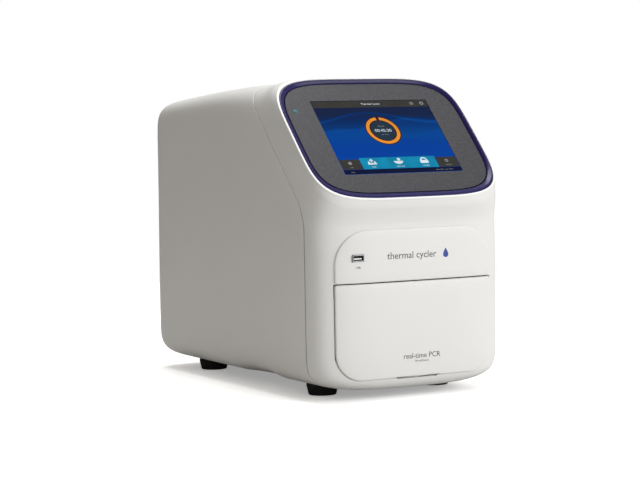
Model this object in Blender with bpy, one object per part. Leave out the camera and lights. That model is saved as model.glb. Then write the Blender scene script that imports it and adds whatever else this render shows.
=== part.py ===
"""A benchtop real-time thermal cycler, modelled piece by piece.

Row frame: +Z up, the front faces -Y, the origin is on the floor under the middle of the body.
Every length below is in millimetres; solid() turns the finished shape into metres.
"""
import math

import bmesh
import bpy
from mathutils import Matrix, Vector

MM = 0.001

# Driving dimensions of the body
HALF_WIDTH = 135.0
REAR_HALF_WIDTH = 133.0
CHIN_Y = -250.0
FRONT_Y = -241.0
REAR_Y = 250.0
BOTTOM_Z = 12.0
TOP_Z = 400.0
WALL = 3.0
SQUIRCLE = 4.7
REAR_SQUIRCLE = 6.0
REAR_SQUIRCLE_Y = 60.0
SIDE_BOTTOM_Z = 72.0
SIDE_TOP_Z = 322.3
FRONT_CORNER_Y = -173.6
REAR_CORNER = 40.0
CHIN_LOW_Z = 212.0
CHIN_HIGH_Z = 245.0
FRONT_EDGE_RADIUS = 16.0
REAR_EDGE_POWER = 2.4
REAR_TOP_DEPTH = 45.0
REAR_BOTTOM_DEPTH = 38.0
REAR_BOTTOM_HEIGHT = 35.0
LIP_BACK_Y = -97.0
LIP_FLARE = 7.1
LIP_FLARE_LENGTH = 14.0
LIP_STEPS = (-25.0, 0.0, 6.0, 14.0, 26.0, 50.0)
LIP_TAPER = 2.8
LIP_TAPER_DEPTH = 60.0
CHIN_STEPS = (9.0, 17.0, 25.0)
CROWN_SLOPE = 0.0346
CROWN_BEND = 0.00009
CAP_KEEP = 0.35
GRIP_Y = (-107.0, 15.0)
GRIP_LIFT = 5.0
GRIP_X = (80.0, 115.0)
GRIP_FADE = 60.0

# The tilted screen plane and the squircles cut in it
SCREEN_TILT = math.radians(44.5)
SCREEN_CENTRE = (0.0, FRONT_CORNER_Y, SIDE_TOP_Z)
RIM_CENTRE = (1.2, -2.3)
RIM_HALF = (129.7, 102.4)
FASCIA_CENTRE = (2.5, 0.3)
FASCIA_HALF = (123.0, 93.8)
DISPLAY = (-81.0, 87.4, -61.9, 64.1)
SCREEN_WALL = 8.0
STATUS_AT = (-107.8, 47.6)

# The seam between the front shell and the main cover, seen from the side
SEAM_Y = -204.5
SEAM_BEND_Z = 230.05
SEAM_BEND_RADIUS = 60.0
SEAM_BEND_STEPS = 6
SEAM_GAP = 0.4

# Places clear of the body on every side, for cutters
AHEAD_Y = -300.0
ABOVE_Z = 430.0
ACROSS_X = (-200.0, 200.0)

# The front pad: fixed bezel above the slit, drawer front below it
PAD_HALF = 111.0
PAD_RISE = 2.0
PAD_DEPTH = 5.0
PAD_Z = (26.0, 209.0)
PAD_RADII = (34.0, 43.0)
SLIT_Z = 145.0
SLIT = 1.6
USB_FRONT = (-81.0, 175.5)

# Feet
FOOT_AT = ((-82.0, -147.0), (82.0, -147.0), (-82.0, 168.0), (82.0, 168.0))
FOOT_RADII = (17.0, 20.3)

# Chassis
BASE_Z = (23.0, 25.6)
DECK_Z = (190.3, 193.0)
FRAME_X = (98.0, 100.0)
FRAME_Y = (-190.0, 70.0)
RAIL_Z = 68.0
RAIL_FLANGE_X = 91.5
GAP = 0.3
OPENING_CLEAR = 0.4

# Drawer and sample block
TRAY_HALF = 89.0
TRAY_Y = (-226.0, 28.0)
TRAY_Z = (48.0, 112.0)
BLOCK_Y = -125.0
BLOCK_HALF = (57.5, 38.5)
BLOCK_Z = (96.6, 128.0)
WELL_PITCH = 9.0
WELL_COLUMNS = 12
WELL_ROWS = 8
WELL_DEPTH = 14.5
WELL_RADII = (1.4, 3.1)
SCREW_RADIUS = 4.0
BORE_RADIUS = 4.6
DRIVE_AXIS = (0.0, 40.0)

# Heat sink
SINK_HALF = 66.0
SINK_Y = (-204.0, -46.0)
SINK_Z = (51.2, 84.0, 92.0)
FINS = 17
FIN = 2.0

# Heated cover
COVER_Z = 138.0
COVER_PLATE = 6.0
POST_RADIUS = 4.0
LIFT_AT = (0.0, -70.0)
POST_AT = (76.0, BLOCK_Y)

# Optics
AXIS_Z = 285.0
WHEEL_RADIUS = 38.5
FILTER_OFFSET = 28.0
FILTER_RADIUS = 8.0
FILTERS = 6
WHEEL_Z = AXIS_Z + FILTER_OFFSET
SPLIT_Y = -50.0
SHELF_Z = 249.0
SHELF_WALL = 2.5
SHELF_X = (-64.0, 98.0)
OPTICS_Z = SHELF_Z + GAP
SPLITTER_TOP = 317.0
LENS_RADIUS = 38.0
LENS_Z = 236.3
HOUSING_TOP = 236.0

# Rear
PANEL_HALF = 103.6
PANEL_Y = (240.5, 243.0)
PANEL_Z = (40.4, 317.6)
FAN_Z = 196.0
FAN_HALF = 46.0
FAN_BORE = 43.0
FAN_HUB = 17.0
FAN_BLADES = 7
SLAT_PITCH = 11.5
VENT_ROWS = 5
VENT_Z = 262.0
VENT_PITCH = 10.0
VENT_SLOT = 4.0
VENT_LENGTH = 72.0
VENT_ASIDE = 8.0
INLET_AT = (-72.0, 66.0)
SWITCH_AT = (-30.0, 66.0)
ROCKER_TILT = math.radians(7.0)
USB_REAR_AT = (40.0, 62.0)
ETHERNET_AT = (66.0, 62.0)


# Finishes: colour, roughness, metallic
WHITE = ((0.80, 0.79, 0.77), 0.45)
NAVY = ((0.035, 0.028, 0.13), 0.35)
GREY = ((0.10, 0.10, 0.105), 0.6)
BLACK = ((0.02, 0.02, 0.02), 0.6)
STEEL = ((0.55, 0.56, 0.58), 0.35, 1.0)
PLATED = ((0.3, 0.3, 0.31), 0.3, 1.0)
ALUMINIUM = ((0.75, 0.76, 0.78), 0.4, 1.0)
BRONZE = ((0.6, 0.42, 0.12), 0.4, 1.0)
BOARD = ((0.02, 0.16, 0.07), 0.5)
GLASS = ((0.75, 0.85, 0.9), 0.05)
MIRROR = ((0.8, 0.82, 0.85), 0.03, 1.0)
CERAMIC = ((0.85, 0.85, 0.82), 0.5)
BLUE = ((0.01, 0.05, 0.25), 0.1)
TEAL = ((0.05, 0.5, 0.5), 0.3)


def clear_scene():
    for item in list(bpy.data.objects):
        bpy.data.objects.remove(item, do_unlink=True)


# ---------------------------------------------------------------- mesh helpers

def prism(points, axis, low, high):
    """Extrude a closed outline along a row axis."""
    place = {
        "X": lambda p, t: (t, p[0], p[1]),
        "Y": lambda p, t: (p[0], t, p[1]),
        "Z": lambda p, t: (p[0], p[1], t),
    }[axis]
    mesh = bmesh.new()
    near = [mesh.verts.new(place(p, low)) for p in points]
    far = [mesh.verts.new(place(p, high)) for p in points]
    mesh.faces.new(near)
    mesh.faces.new(list(reversed(far)))
    for i in range(len(points)):
        j = (i + 1) % len(points)
        mesh.faces.new((near[i], far[i], far[j], near[j]))
    bmesh.ops.recalc_face_normals(mesh, faces=mesh.faces[:])
    return mesh


def box(x0, x1, y0, y1, z0, z1):
    return prism(((x0, y0), (x1, y0), (x1, y1), (x0, y1)), "Z", z0, z1)


def circle(centre, radius, sides):
    return [
        (centre[0] + radius * math.cos(2 * math.pi * i / sides),
         centre[1] + radius * math.sin(2 * math.pi * i / sides))
        for i in range(sides)
    ]


def cylinder(axis, centre, radius, low, high, sides=20):
    return prism(circle(centre, radius, sides), axis, low, high)


def lathe(profile, axis, centre, sides=24):
    """Turn (radius, height) points, given from one pole to the other, about an axis."""
    mesh = bmesh.new()
    place = {
        "Y": lambda a, b, t: (centre[0] + a, t, centre[1] + b),
        "Z": lambda a, b, t: (centre[0] + a, centre[1] + b, t),
    }[axis]
    rings = []
    for radius, height in profile:
        if radius == 0.0:
            rings.append([mesh.verts.new(place(0.0, 0.0, height))])
        else:
            rings.append([mesh.verts.new(place(p[0], p[1], height))
                          for p in circle((0.0, 0.0), radius, sides)])
    for lower, upper in zip(rings, rings[1:]):
        for i in range(sides):
            j = (i + 1) % sides
            if len(lower) == 1:
                mesh.faces.new((lower[0], upper[i], upper[j]))
            elif len(upper) == 1:
                mesh.faces.new((lower[i], lower[j], upper[0]))
            else:
                mesh.faces.new((lower[i], lower[j], upper[j], upper[i]))
    bmesh.ops.recalc_face_normals(mesh, faces=mesh.faces[:])
    return mesh


def join(*meshes):
    """Put several bodies in one mesh, for use as one cutter."""
    whole = bmesh.new()
    for mesh in meshes:
        copy = {v: whole.verts.new(v.co) for v in mesh.verts}
        for face in mesh.faces:
            whole.faces.new([copy[v] for v in face.verts])
        mesh.free()
    return whole


def rounded(x0, x1, z0, z1, low_radius, high_radius, steps=7):
    """A rectangle with one radius on its lower corners and one on its upper corners."""
    corners = (
        (x1 - low_radius, z0 + low_radius, low_radius, -90),
        (x1 - high_radius, z1 - high_radius, high_radius, 0),
        (x0 + high_radius, z1 - high_radius, high_radius, 90),
        (x0 + low_radius, z0 + low_radius, low_radius, 180),
    )
    points = []
    for cx, cz, radius, start in corners:
        for k in range(steps + 1):
            angle = math.radians(start + 90.0 * k / steps)
            points.append((cx + radius * math.cos(angle), cz + radius * math.sin(angle)))
    return points


def squircle(half, centre, sides=48):
    points = []
    for i in range(sides):
        angle = 2 * math.pi * i / sides
        c = math.cos(angle)
        s = math.sin(angle)
        points.append((
            centre[0] + math.copysign(half[0] * abs(c) ** (2 / SQUIRCLE), c),
            centre[1] + math.copysign(half[1] * abs(s) ** (2 / SQUIRCLE), s),
        ))
    return points


def on_screen(mesh):
    """Move a shape from screen coordinates (across, up the slope, outward) into the body."""
    up = Vector((0.0, math.sin(SCREEN_TILT), math.cos(SCREEN_TILT)))
    out = Vector((0.0, -math.cos(SCREEN_TILT), math.sin(SCREEN_TILT)))
    frame = Matrix((
        (1.0, up.x, out.x, SCREEN_CENTRE[0]),
        (0.0, up.y, out.y, SCREEN_CENTRE[1]),
        (0.0, up.z, out.z, SCREEN_CENTRE[2]),
        (0.0, 0.0, 0.0, 1.0),
    ))
    bmesh.ops.transform(mesh, matrix=frame, verts=mesh.verts[:])
    return mesh


# ---------------------------------------------------------------- object helpers

def material(name, colour, roughness, metallic=0.0):
    made = bpy.data.materials.new(name)
    made.use_nodes = True
    shader = made.node_tree.nodes["Principled BSDF"]
    shader.inputs["Base Color"].default_value = (*colour, 1.0)
    shader.inputs["Roughness"].default_value = roughness
    shader.inputs["Metallic"].default_value = metallic
    return made


def solid(name, mesh, look, origin=(0.0, 0.0, 0.0), smooth=False):
    """Make the named object from a mesh in millimetres, with its origin at the given point."""
    start = Vector(origin)
    for vert in mesh.verts:
        vert.co = (vert.co - start) * MM
    data = bpy.data.meshes.new(name)
    mesh.to_mesh(data)
    mesh.free()
    made = bpy.data.objects.new(name, data)
    made.location = start * MM
    bpy.context.scene.collection.objects.link(made)
    data.materials.append(material(name, *look))
    if smooth:
        data.shade_smooth()
        data.set_sharp_from_angle(angle=math.radians(40.0))
    return made


def shape(target, tool, operation):
    """Cut or fuse the target with a mesh in millimetres."""
    data = bpy.data.meshes.new("tool")
    for vert in tool.verts:
        vert.co = (vert.co * MM) - target.location
    tool.to_mesh(data)
    tool.free()
    cutter = bpy.data.objects.new("tool", data)
    cutter.location = target.location
    cutter.hide_render = True
    cutter.display_type = "WIRE"
    bpy.context.scene.collection.objects.link(cutter)
    change = target.modifiers.new("shape", "BOOLEAN")
    change.object = cutter
    change.operation = operation
    change.solver = "EXACT"
    bpy.context.view_layer.update()
    seen = target.evaluated_get(bpy.context.evaluated_depsgraph_get())
    result = bpy.data.meshes.new_from_object(seen)
    target.modifiers.clear()
    result.name = target.name
    target.data = result
    bpy.data.objects.remove(cutter, do_unlink=True)
    return target


def cut(target, *tools):
    for tool in tools:
        shape(target, tool, "DIFFERENCE")
    return target


def fuse(target, *tools):
    for tool in tools:
        shape(target, tool, "UNION")
    return target


# ---------------------------------------------------------------- the body's outer form

def curve(fraction, power):
    """How much of its full extent a rounded edge keeps at a fraction of its height."""
    return max(0.0, 1.0 - fraction ** power) ** (1.0 / power)


def smooth_step(value, low, high):
    t = min(1.0, max(0.0, (value - low) / (high - low)))
    return t * t * (3.0 - 2.0 * t)


def crown(y):
    """The height of the top surface on the centre line."""
    back = max(y, LIP_BACK_Y) - LIP_BACK_Y
    fall = CROWN_SLOPE * back + CROWN_BEND * back * back
    return TOP_Z - LIP_FLARE - fall + LIP_FLARE * math.exp(-back / LIP_FLARE_LENGTH)


def grip_lift(x, y, z):
    """The shallow scallop along the lower edge of each side."""
    middle = (GRIP_Y[0] + GRIP_Y[1]) / 2
    reach = (GRIP_Y[1] - GRIP_Y[0]) / 2
    along = max(0.0, 1.0 - ((y - middle) / reach) ** 2)
    across = smooth_step(abs(x), *GRIP_X)
    fade = max(0.0, 1.0 - (z - BOTTOM_Z) / GRIP_FADE)
    return GRIP_LIFT * along * across * fade


def front_y(z, inset):
    """The front surface: upright face, concave sweep up to the chin, rounded lower edge."""
    sweep = smooth_step(z, CHIN_LOW_Z, CHIN_HIGH_Z)
    y = FRONT_Y + (CHIN_Y - FRONT_Y) * sweep
    low = BOTTOM_Z + FRONT_EDGE_RADIUS - z
    if low > 0.0:
        radius = FRONT_EDGE_RADIUS
        y += radius - math.sqrt(max(0.0, radius * radius - min(low, radius) ** 2))
    return y + inset


def squircle_steps(steps):
    """Heights along a squircle's quarter, from its side to near its pole, as fractions."""
    end = math.acos(CAP_KEEP ** (SQUIRCLE / 2))
    return [math.sin(end * (k + 1) / steps) ** (2 / SQUIRCLE) for k in range(steps)]


def ring_levels(bottom_steps, top_steps):
    """(part of the body, height fraction) for each ring, from the bottom up."""
    levels = [("bottom", value) for value in reversed(squircle_steps(bottom_steps))]
    heights = [SIDE_BOTTOM_Z, CHIN_LOW_Z, *[CHIN_LOW_Z + step for step in CHIN_STEPS], CHIN_HIGH_Z]
    heights += [(CHIN_HIGH_Z + SIDE_TOP_Z) / 2, SIDE_TOP_Z]
    levels += [("side", z) for z in heights]
    levels += [("top", value) for value in squircle_steps(top_steps)]
    return levels


def outline(corner_steps, side_steps):
    """Right half of the plan outline, front to rear, as (part, across, along) values."""
    points = []
    for i in range(corner_steps + 1):
        angle = 0.5 * math.pi * i / corner_steps
        points.append(("front", math.sin(angle) ** (2 / SQUIRCLE),
                       math.cos(angle) ** (2 / SQUIRCLE)))
    points += [("lip", 1.0, LIP_BACK_Y + step) for step in LIP_STEPS]
    points += [("side", 1.0, i / side_steps) for i in range(side_steps)]
    for i in range(corner_steps + 1):
        angle = 0.5 * math.pi * (1 - i / corner_steps)
        points.append(("rear", math.sin(angle) ** (2 / SQUIRCLE),
                       math.cos(angle) ** (2 / SQUIRCLE)))
    return points


def lip_taper(y, z):
    """How much the body draws in as it comes up to the screen's lip."""
    behind = (FRONT_CORNER_Y - y) * math.cos(SCREEN_TILT) + (z - SIDE_TOP_Z) * math.sin(SCREEN_TILT)
    return LIP_TAPER * smooth_step(behind, -LIP_TAPER_DEPTH, 0.0)


def body_point(level, place, inset):
    """One point of the body's surface, set in from it by the given distance."""
    part, value = level
    where, across, along = place
    keep = 1.0
    rear = REAR_Y - inset
    if part == "bottom":
        keep = curve(value, SQUIRCLE)
        z = SIDE_BOTTOM_Z - (SIDE_BOTTOM_Z - BOTTOM_Z - inset) * value
        low = min(1.0, max(0.0, BOTTOM_Z + REAR_BOTTOM_HEIGHT - z) / REAR_BOTTOM_HEIGHT)
        rear -= REAR_BOTTOM_DEPTH * (1.0 - curve(low, REAR_EDGE_POWER))
    elif part == "top":
        z = SIDE_TOP_Z
        rear -= REAR_TOP_DEPTH * (1.0 - curve(value, REAR_EDGE_POWER))
    else:
        z = value
    front = front_y(z, inset)
    if where == "front":
        y = FRONT_CORNER_Y + (front - FRONT_CORNER_Y) * along
    elif where == "rear":
        y = rear - REAR_CORNER + REAR_CORNER * along
    elif where == "lip":
        y = along
    else:
        y = (rear - REAR_CORNER) * along
    top = crown(y) - inset
    height = z
    if part == "top":
        rear_part = smooth_step(y, LIP_BACK_Y, REAR_SQUIRCLE_Y)
        keep = curve(value, SQUIRCLE + (REAR_SQUIRCLE - SQUIRCLE) * rear_part)
        height += (top - SIDE_TOP_Z) * value
    taper = smooth_step(y, LIP_BACK_Y, REAR_Y) * smooth_step(height, SIDE_BOTTOM_Z, SIDE_TOP_Z)
    half = HALF_WIDTH + (REAR_HALF_WIDTH - HALF_WIDTH) * taper - inset
    narrow = lip_taper(y, height)
    x = (half - narrow) * keep * across
    if part == "top":
        z += (top - narrow - SIDE_TOP_Z) * value
    return x, y, z + grip_lift(x, y, z)


def body_blank(inset, corner_steps=7, side_steps=5, bottom_steps=6, top_steps=7):
    """The closed outer form of the body, or the same form set in by a wall thickness."""
    mesh = bmesh.new()
    half = outline(corner_steps, side_steps)
    last = len(half) - 1
    rings = []
    for level in ring_levels(bottom_steps, top_steps):
        right = [body_point(level, place, inset) for place in half]
        loop = [mesh.verts.new(p) for p in right]
        loop += [mesh.verts.new((-p[0], p[1], p[2])) for p in reversed(right[1:last])]
        rings.append(loop)
    count = len(rings[0])
    for lower, upper in zip(rings, rings[1:]):
        for i in range(count):
            j = (i + 1) % count
            mesh.faces.new((lower[i], lower[j], upper[j], upper[i]))
    for loop, turn in ((rings[0], True), (rings[-1], False)):
        for i in range(last):
            mirrored = (count - i) % count
            beside = (count - i - 1) % count
            around = [loop[i], loop[i + 1], loop[beside], loop[mirrored]]
            corners = [v for k, v in enumerate(around) if v not in around[:k]]
            mesh.faces.new(list(reversed(corners)) if turn else corners)
    bmesh.ops.recalc_face_normals(mesh, faces=mesh.faces[:])
    return mesh


def cut_by_screen(mesh, depth):
    """Slice off everything in front of the screen plane, or of a plane set behind it."""
    out = Vector((0.0, -math.cos(SCREEN_TILT), math.sin(SCREEN_TILT)))
    middle = Vector(SCREEN_CENTRE) - out * depth
    geometry = mesh.verts[:] + mesh.edges[:] + mesh.faces[:]
    bmesh.ops.bisect_plane(mesh, geom=geometry, plane_co=middle, plane_no=out, clear_outer=True)
    rim = [edge for edge in mesh.edges if edge.is_boundary]
    bmesh.ops.edgeloop_fill(mesh, edges=rim)
    bmesh.ops.recalc_face_normals(mesh, faces=mesh.faces[:])
    return mesh


def seam_profile(shift):
    """Side view of what lies in front of the seam, with the seam moved back by a distance."""
    tangent = SEAM_BEND_RADIUS * math.tan(SCREEN_TILT / 2)
    y = SEAM_Y + shift
    centre = (y + SEAM_BEND_RADIUS, SEAM_BEND_Z - tangent)
    points = [(AHEAD_Y, 0.0), (y, 0.0)]
    for k in range(SEAM_BEND_STEPS + 1):
        angle = math.pi - SCREEN_TILT * k / SEAM_BEND_STEPS
        points.append((centre[0] + SEAM_BEND_RADIUS * math.cos(angle),
                       centre[1] + SEAM_BEND_RADIUS * math.sin(angle)))
    rise = ABOVE_Z - points[-1][1]
    points.append((points[-1][0] + rise * math.tan(SCREEN_TILT), ABOVE_Z))
    points.append((AHEAD_Y, ABOVE_Z))
    return points


def pad_outline(grow):
    return rounded(-PAD_HALF - grow, PAD_HALF + grow, PAD_Z[0] - grow, PAD_Z[1] + grow,
                   PAD_RADII[0] + grow, PAD_RADII[1] + grow)


def body_shell(name, look):
    """The hollow body with its screen, pad, rear and underside openings."""
    shell = solid(name, cut_by_screen(body_blank(0.0), 0.0), look, smooth=True)
    cut(shell, cut_by_screen(body_blank(WALL), SCREEN_WALL))
    opening = [half + OPENING_CLEAR for half in RIM_HALF]
    side = PANEL_HALF + OPENING_CLEAR
    low, high = PANEL_Z
    rear = rounded(-side, side, low - OPENING_CLEAR, high + OPENING_CLEAR, 10.0, 10.0, 3)
    cut(
        shell,
        on_screen(prism(squircle(opening, RIM_CENTRE), "Z", -SCREEN_WALL - 1.0, 20.0)),
        prism(pad_outline(0.5), "Y", -260.0, -215.0),
        prism(rear, "Y", 220.0, 260.0),
        box(-88.0, 88.0, -185.0, 200.0, 0.0, 40.0),
    )
    return shell


def make_body():
    seam_front = prism(seam_profile(0.0), "X", *ACROSS_X)
    seam_back = prism(seam_profile(SEAM_GAP), "X", *ACROSS_X)
    shape(body_shell("front_shell", WHITE), seam_front, "INTERSECT")
    cut(body_shell("main_cover", WHITE), seam_back)
    for name in ("front_shell", "main_cover"):
        bpy.data.objects[name].data.set_sharp_from_angle(angle=math.radians(40.0))


def make_feet():
    for number, (x, y) in enumerate(FOOT_AT, start=1):
        foot = solid(
            f"foot_{number}",
            lathe(((0.0, 0.0), (FOOT_RADII[0], 0.0), (FOOT_RADII[1], 17.5), (0.0, 17.5)),
                  "Z", (x, y)),
            BLACK, smooth=True)
        cut(foot, body_blank(-GAP))


def pad_piece(name, points):
    """A curved slab that follows the body's front, standing a little proud of it."""
    piece = solid(name, prism(points, "Y", -270.0, -210.0), WHITE)
    shape(piece, body_blank(-PAD_RISE), "INTERSECT")
    return cut(piece, body_blank(PAD_DEPTH))


def make_pad():
    upper = rounded(-PAD_HALF, PAD_HALF, SLIT_Z + SLIT / 2, PAD_Z[1], 2.0, PAD_RADII[1])
    bezel = pad_piece("front_bezel", upper)
    x, z = USB_FRONT
    cut(bezel, box(x - 8.6, x + 8.6, -250.0, -230.0, z - 4.6, z + 4.6))
    port = solid("usb_port_front", box(x - 8.2, x + 8.2, -242.6, -228.0, z - 4.2, z + 4.2),
                 PLATED)
    cut(port, box(x - 6.6, x + 6.6, -250.0, -230.0, z - 2.9, z + 2.9))
    fuse(port, box(x - 5.6, x + 5.6, -237.6, -229.0, z - 0.1, z + 1.7))


def make_screen():
    ring = prism(squircle(RIM_HALF, RIM_CENTRE), "Z", -7.0, -0.4)
    rim = solid("screen_rim", on_screen(ring), NAVY)
    inner = [half + GAP for half in FASCIA_HALF]
    cut(rim, on_screen(prism(squircle(inner, FASCIA_CENTRE), "Z", -20.0, 10.0)))
    x0, x1, t0, t1 = DISPLAY
    film = prism(squircle(FASCIA_HALF, FASCIA_CENTRE), "Z", -6.5, -3.2)
    fascia = solid("screen_fascia", on_screen(film), GREY)
    cut(
        fascia,
        on_screen(box(x0 - GAP, x1 + GAP, t0 - GAP, t1 + GAP, -20.0, 10.0)),
        on_screen(cylinder("Z", STATUS_AT, 3.0, -20.0, 10.0, 12)),
    )
    solid("display_panel", on_screen(box(x0, x1, t0, t1, -7.6, -3.6)), BLUE)
    solid("status_lens", on_screen(cylinder("Z", STATUS_AT, 2.6, -6.5, -3.0, 12)), TEAL)
    solid("display_chassis", on_screen(box(x0 - 8.0, x1 + 8.0, t0 - 8.0, t1 + 8.0, -16.0, -8.4)),
          STEEL)


def make_chassis():
    solid("base_plate", box(-102.0, 102.0, -220.0, 222.0, *BASE_Z), STEEL)
    inner, outer = FRAME_X
    low = BASE_Z[1] + GAP
    high = DECK_Z[0] - GAP
    for side, name in ((-1, "side_frame_left"), (1, "side_frame_right")):
        profile = [
            (inner, low), (outer, low), (outer, high), (inner, high),
            (inner, RAIL_Z + 8.0), (RAIL_FLANGE_X, RAIL_Z + 8.0), (RAIL_FLANGE_X, RAIL_Z + 6.0),
            (inner, RAIL_Z + 6.0), (inner, RAIL_Z - 6.0), (RAIL_FLANGE_X, RAIL_Z - 6.0),
            (RAIL_FLANGE_X, RAIL_Z - 8.0), (inner, RAIL_Z - 8.0),
        ]
        solid(name, prism([(side * x, z) for x, z in profile], "Y", *FRAME_Y), STEEL)
    deck = solid("optics_deck", box(-100.0, 100.0, -168.0, 90.0, *DECK_Z), ALUMINIUM)
    cut(deck, box(-56.0, 56.0, -163.0, -87.0, 180.0, 200.0),
        cylinder("Z", LIFT_AT, SCREW_RADIUS + 1.0, 180.0, 200.0, 12))


def make_drawer():
    lower = rounded(-PAD_HALF, PAD_HALF, PAD_Z[0], SLIT_Z - SLIT / 2, PAD_RADII[0], 2.0)
    front = pad_piece("drawer_front", lower)
    fuse(front, box(-80.0, 80.0, -237.0, TRAY_Y[0] - GAP, 52.0, 108.0))
    cut(front, box(-28.0, 28.0, -239.5, -230.0, 20.0, 31.0))
    y0, y1 = TRAY_Y
    z0, z1 = TRAY_Z
    tray = solid("drawer_tray", box(-TRAY_HALF, TRAY_HALF, y0, y1, z0, z1), STEEL)
    cut(tray, box(-TRAY_HALF + 2, TRAY_HALF - 2, y0 + 2, y1 - 2, z0 + 2.5, z1 + 5),
        box(-62.0, 62.0, y1 - 10, y1 + 10, z0 + 6, z1 - 8))
    for side, name in ((-1, "drawer_rail_left"), (1, "drawer_rail_right")):
        across = sorted((side * (TRAY_HALF + GAP), side * (FRAME_X[0] - 0.6)))
        solid(name, box(*across, y0 + 1, y1 - 1, RAIL_Z - 5.4, RAIL_Z + 5.4), STEEL)
    deck = solid("drawer_deck", box(-88.5, 88.5, y0 + 0.5, y1 - 0.5, z1 + GAP, z1 + 3.3), GREY)
    cut(deck, box(-60.0, 60.0, BLOCK_Y - 41, BLOCK_Y + 41, 100.0, 130.0))
    surround = solid("block_frame", box(-66.0, 66.0, BLOCK_Y - 47, BLOCK_Y + 47,
                                        z1 + 3.6, z1 + 10.0), BLACK)
    cut(surround, box(-BLOCK_HALF[0] - 0.7, BLOCK_HALF[0] + 0.7, BLOCK_Y - BLOCK_HALF[1] - 0.7,
                      BLOCK_Y + BLOCK_HALF[1] + 0.7, 100.0, 130.0))
    make_heat_sink()
    solid("peltier_module", box(-56.0, 56.0, BLOCK_Y - 37, BLOCK_Y + 37, SINK_Z[2] + GAP,
                                BLOCK_Z[0] - GAP), CERAMIC)
    make_sample_block()
    nut = solid("drive_nut", box(-9.0, 9.0, 2.0, 18.0, 31.5, z0 - GAP), BRONZE)
    cut(nut, cylinder("Y", DRIVE_AXIS, BORE_RADIUS, -10.0, 30.0, 16))


def make_heat_sink():
    """A finned sink under the block, with its fins running front to back."""
    tip, root, top = SINK_Z
    pitch = (2 * SINK_HALF - FIN) / (FINS - 1)
    points = [(SINK_HALF, top), (-SINK_HALF, top)]
    for k in range(FINS):
        x = -SINK_HALF + pitch * k
        if k:
            points.append((x, root))
        points += [(x, tip), (x + FIN, tip)]
        if k < FINS - 1:
            points.append((x + FIN, root))
    solid("heat_sink", prism(points, "Y", *SINK_Y), ALUMINIUM)


def make_sample_block():
    block = solid("sample_block", box(-BLOCK_HALF[0], BLOCK_HALF[0], BLOCK_Y - BLOCK_HALF[1],
                                      BLOCK_Y + BLOCK_HALF[1], *BLOCK_Z), ALUMINIUM)
    top = BLOCK_Z[1]
    reach = 1.0
    slope = (WELL_RADII[1] - WELL_RADII[0]) / WELL_DEPTH
    wells = []
    for row in range(WELL_ROWS):
        for column in range(WELL_COLUMNS):
            x = (column - (WELL_COLUMNS - 1) / 2) * WELL_PITCH
            y = BLOCK_Y + (row - (WELL_ROWS - 1) / 2) * WELL_PITCH
            profile = (
                (0.0, top - WELL_DEPTH),
                (WELL_RADII[0], top - WELL_DEPTH),
                (WELL_RADII[1] + slope * reach, top + reach),
                (0.0, top + reach),
            )
            wells.append(lathe(profile, "Z", (x, y), 6))
    cut(block, join(*wells))


def make_drive():
    low = BASE_Z[1] + GAP
    solid("drive_screw", cylinder("Y", DRIVE_AXIS, SCREW_RADIUS, -213.0, 44.6, 16), STEEL,
          origin=(DRIVE_AXIS[0], 0.0, DRIVE_AXIS[1]), smooth=True)
    bearing = solid("screw_bearing", box(-10.0, 10.0, -212.0, -204.0, low, 47.4), BLACK)
    cut(bearing, cylinder("Y", DRIVE_AXIS, BORE_RADIUS, -220.0, -200.0, 16))
    solid("drawer_motor", box(-14.0, 14.0, 45.0, 88.0, low, 54.0), BLACK)


def make_heated_cover():
    plate = box(-60.0, 60.0, BLOCK_Y - 41, BLOCK_Y + 41, COVER_Z, COVER_Z + COVER_PLATE)
    solid("heated_cover_plate", plate, ALUMINIUM, origin=(0.0, BLOCK_Y, COVER_Z))
    low = COVER_Z + COVER_PLATE + GAP
    frame = solid("cover_frame", box(-84.0, 84.0, BLOCK_Y - 45, -56.0, low, 156.0), BLACK,
                  origin=(0.0, BLOCK_Y, COVER_Z))
    cut(frame, box(-54.0, 54.0, BLOCK_Y - 36, BLOCK_Y + 36, 100.0, 200.0),
        cylinder("Z", LIFT_AT, BORE_RADIUS, 100.0, 200.0, 16))
    for side in (-1, 1):
        cut(frame, cylinder("Z", (side * POST_AT[0], POST_AT[1]), BORE_RADIUS, 100.0, 200.0, 16))
    foot = 130.0
    for side, name in ((-1, "guide_post_left"), (1, "guide_post_right")):
        post = cylinder("Z", (side * POST_AT[0], POST_AT[1]), POST_RADIUS, foot, DECK_Z[0] - GAP, 16)
        solid(name, post, STEEL, smooth=True)
    top = DECK_Z[1] + GAP
    solid("lift_screw", cylinder("Z", LIFT_AT, SCREW_RADIUS, foot, top, 16), STEEL,
          origin=(*LIFT_AT, foot), smooth=True)
    solid("lift_motor", box(-14.0, 14.0, LIFT_AT[1] - 14.0, LIFT_AT[1] + 14.0, top + 0.4, 234.0),
          BLACK)


def filter_wheel(name, axis, centre, low, high):
    """A disc with a ring of filter windows; one window lies on the light's axis."""
    middle = {"X": (0.0, centre[0], centre[1]), "Y": (centre[0], 0.0, centre[1])}[axis]
    wheel = solid(name, cylinder(axis, centre, WHEEL_RADIUS, low, high, 32), BLACK,
                  origin=middle, smooth=True)
    windows = []
    for k in range(FILTERS):
        angle = -math.pi / 2 + 2 * math.pi * k / FILTERS
        spot = (centre[0] + FILTER_OFFSET * math.cos(angle),
                centre[1] + FILTER_OFFSET * math.sin(angle))
        windows.append(cylinder(axis, spot, FILTER_RADIUS, low - 5, high + 5, 12))
    cut(wheel, join(*windows))


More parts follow.
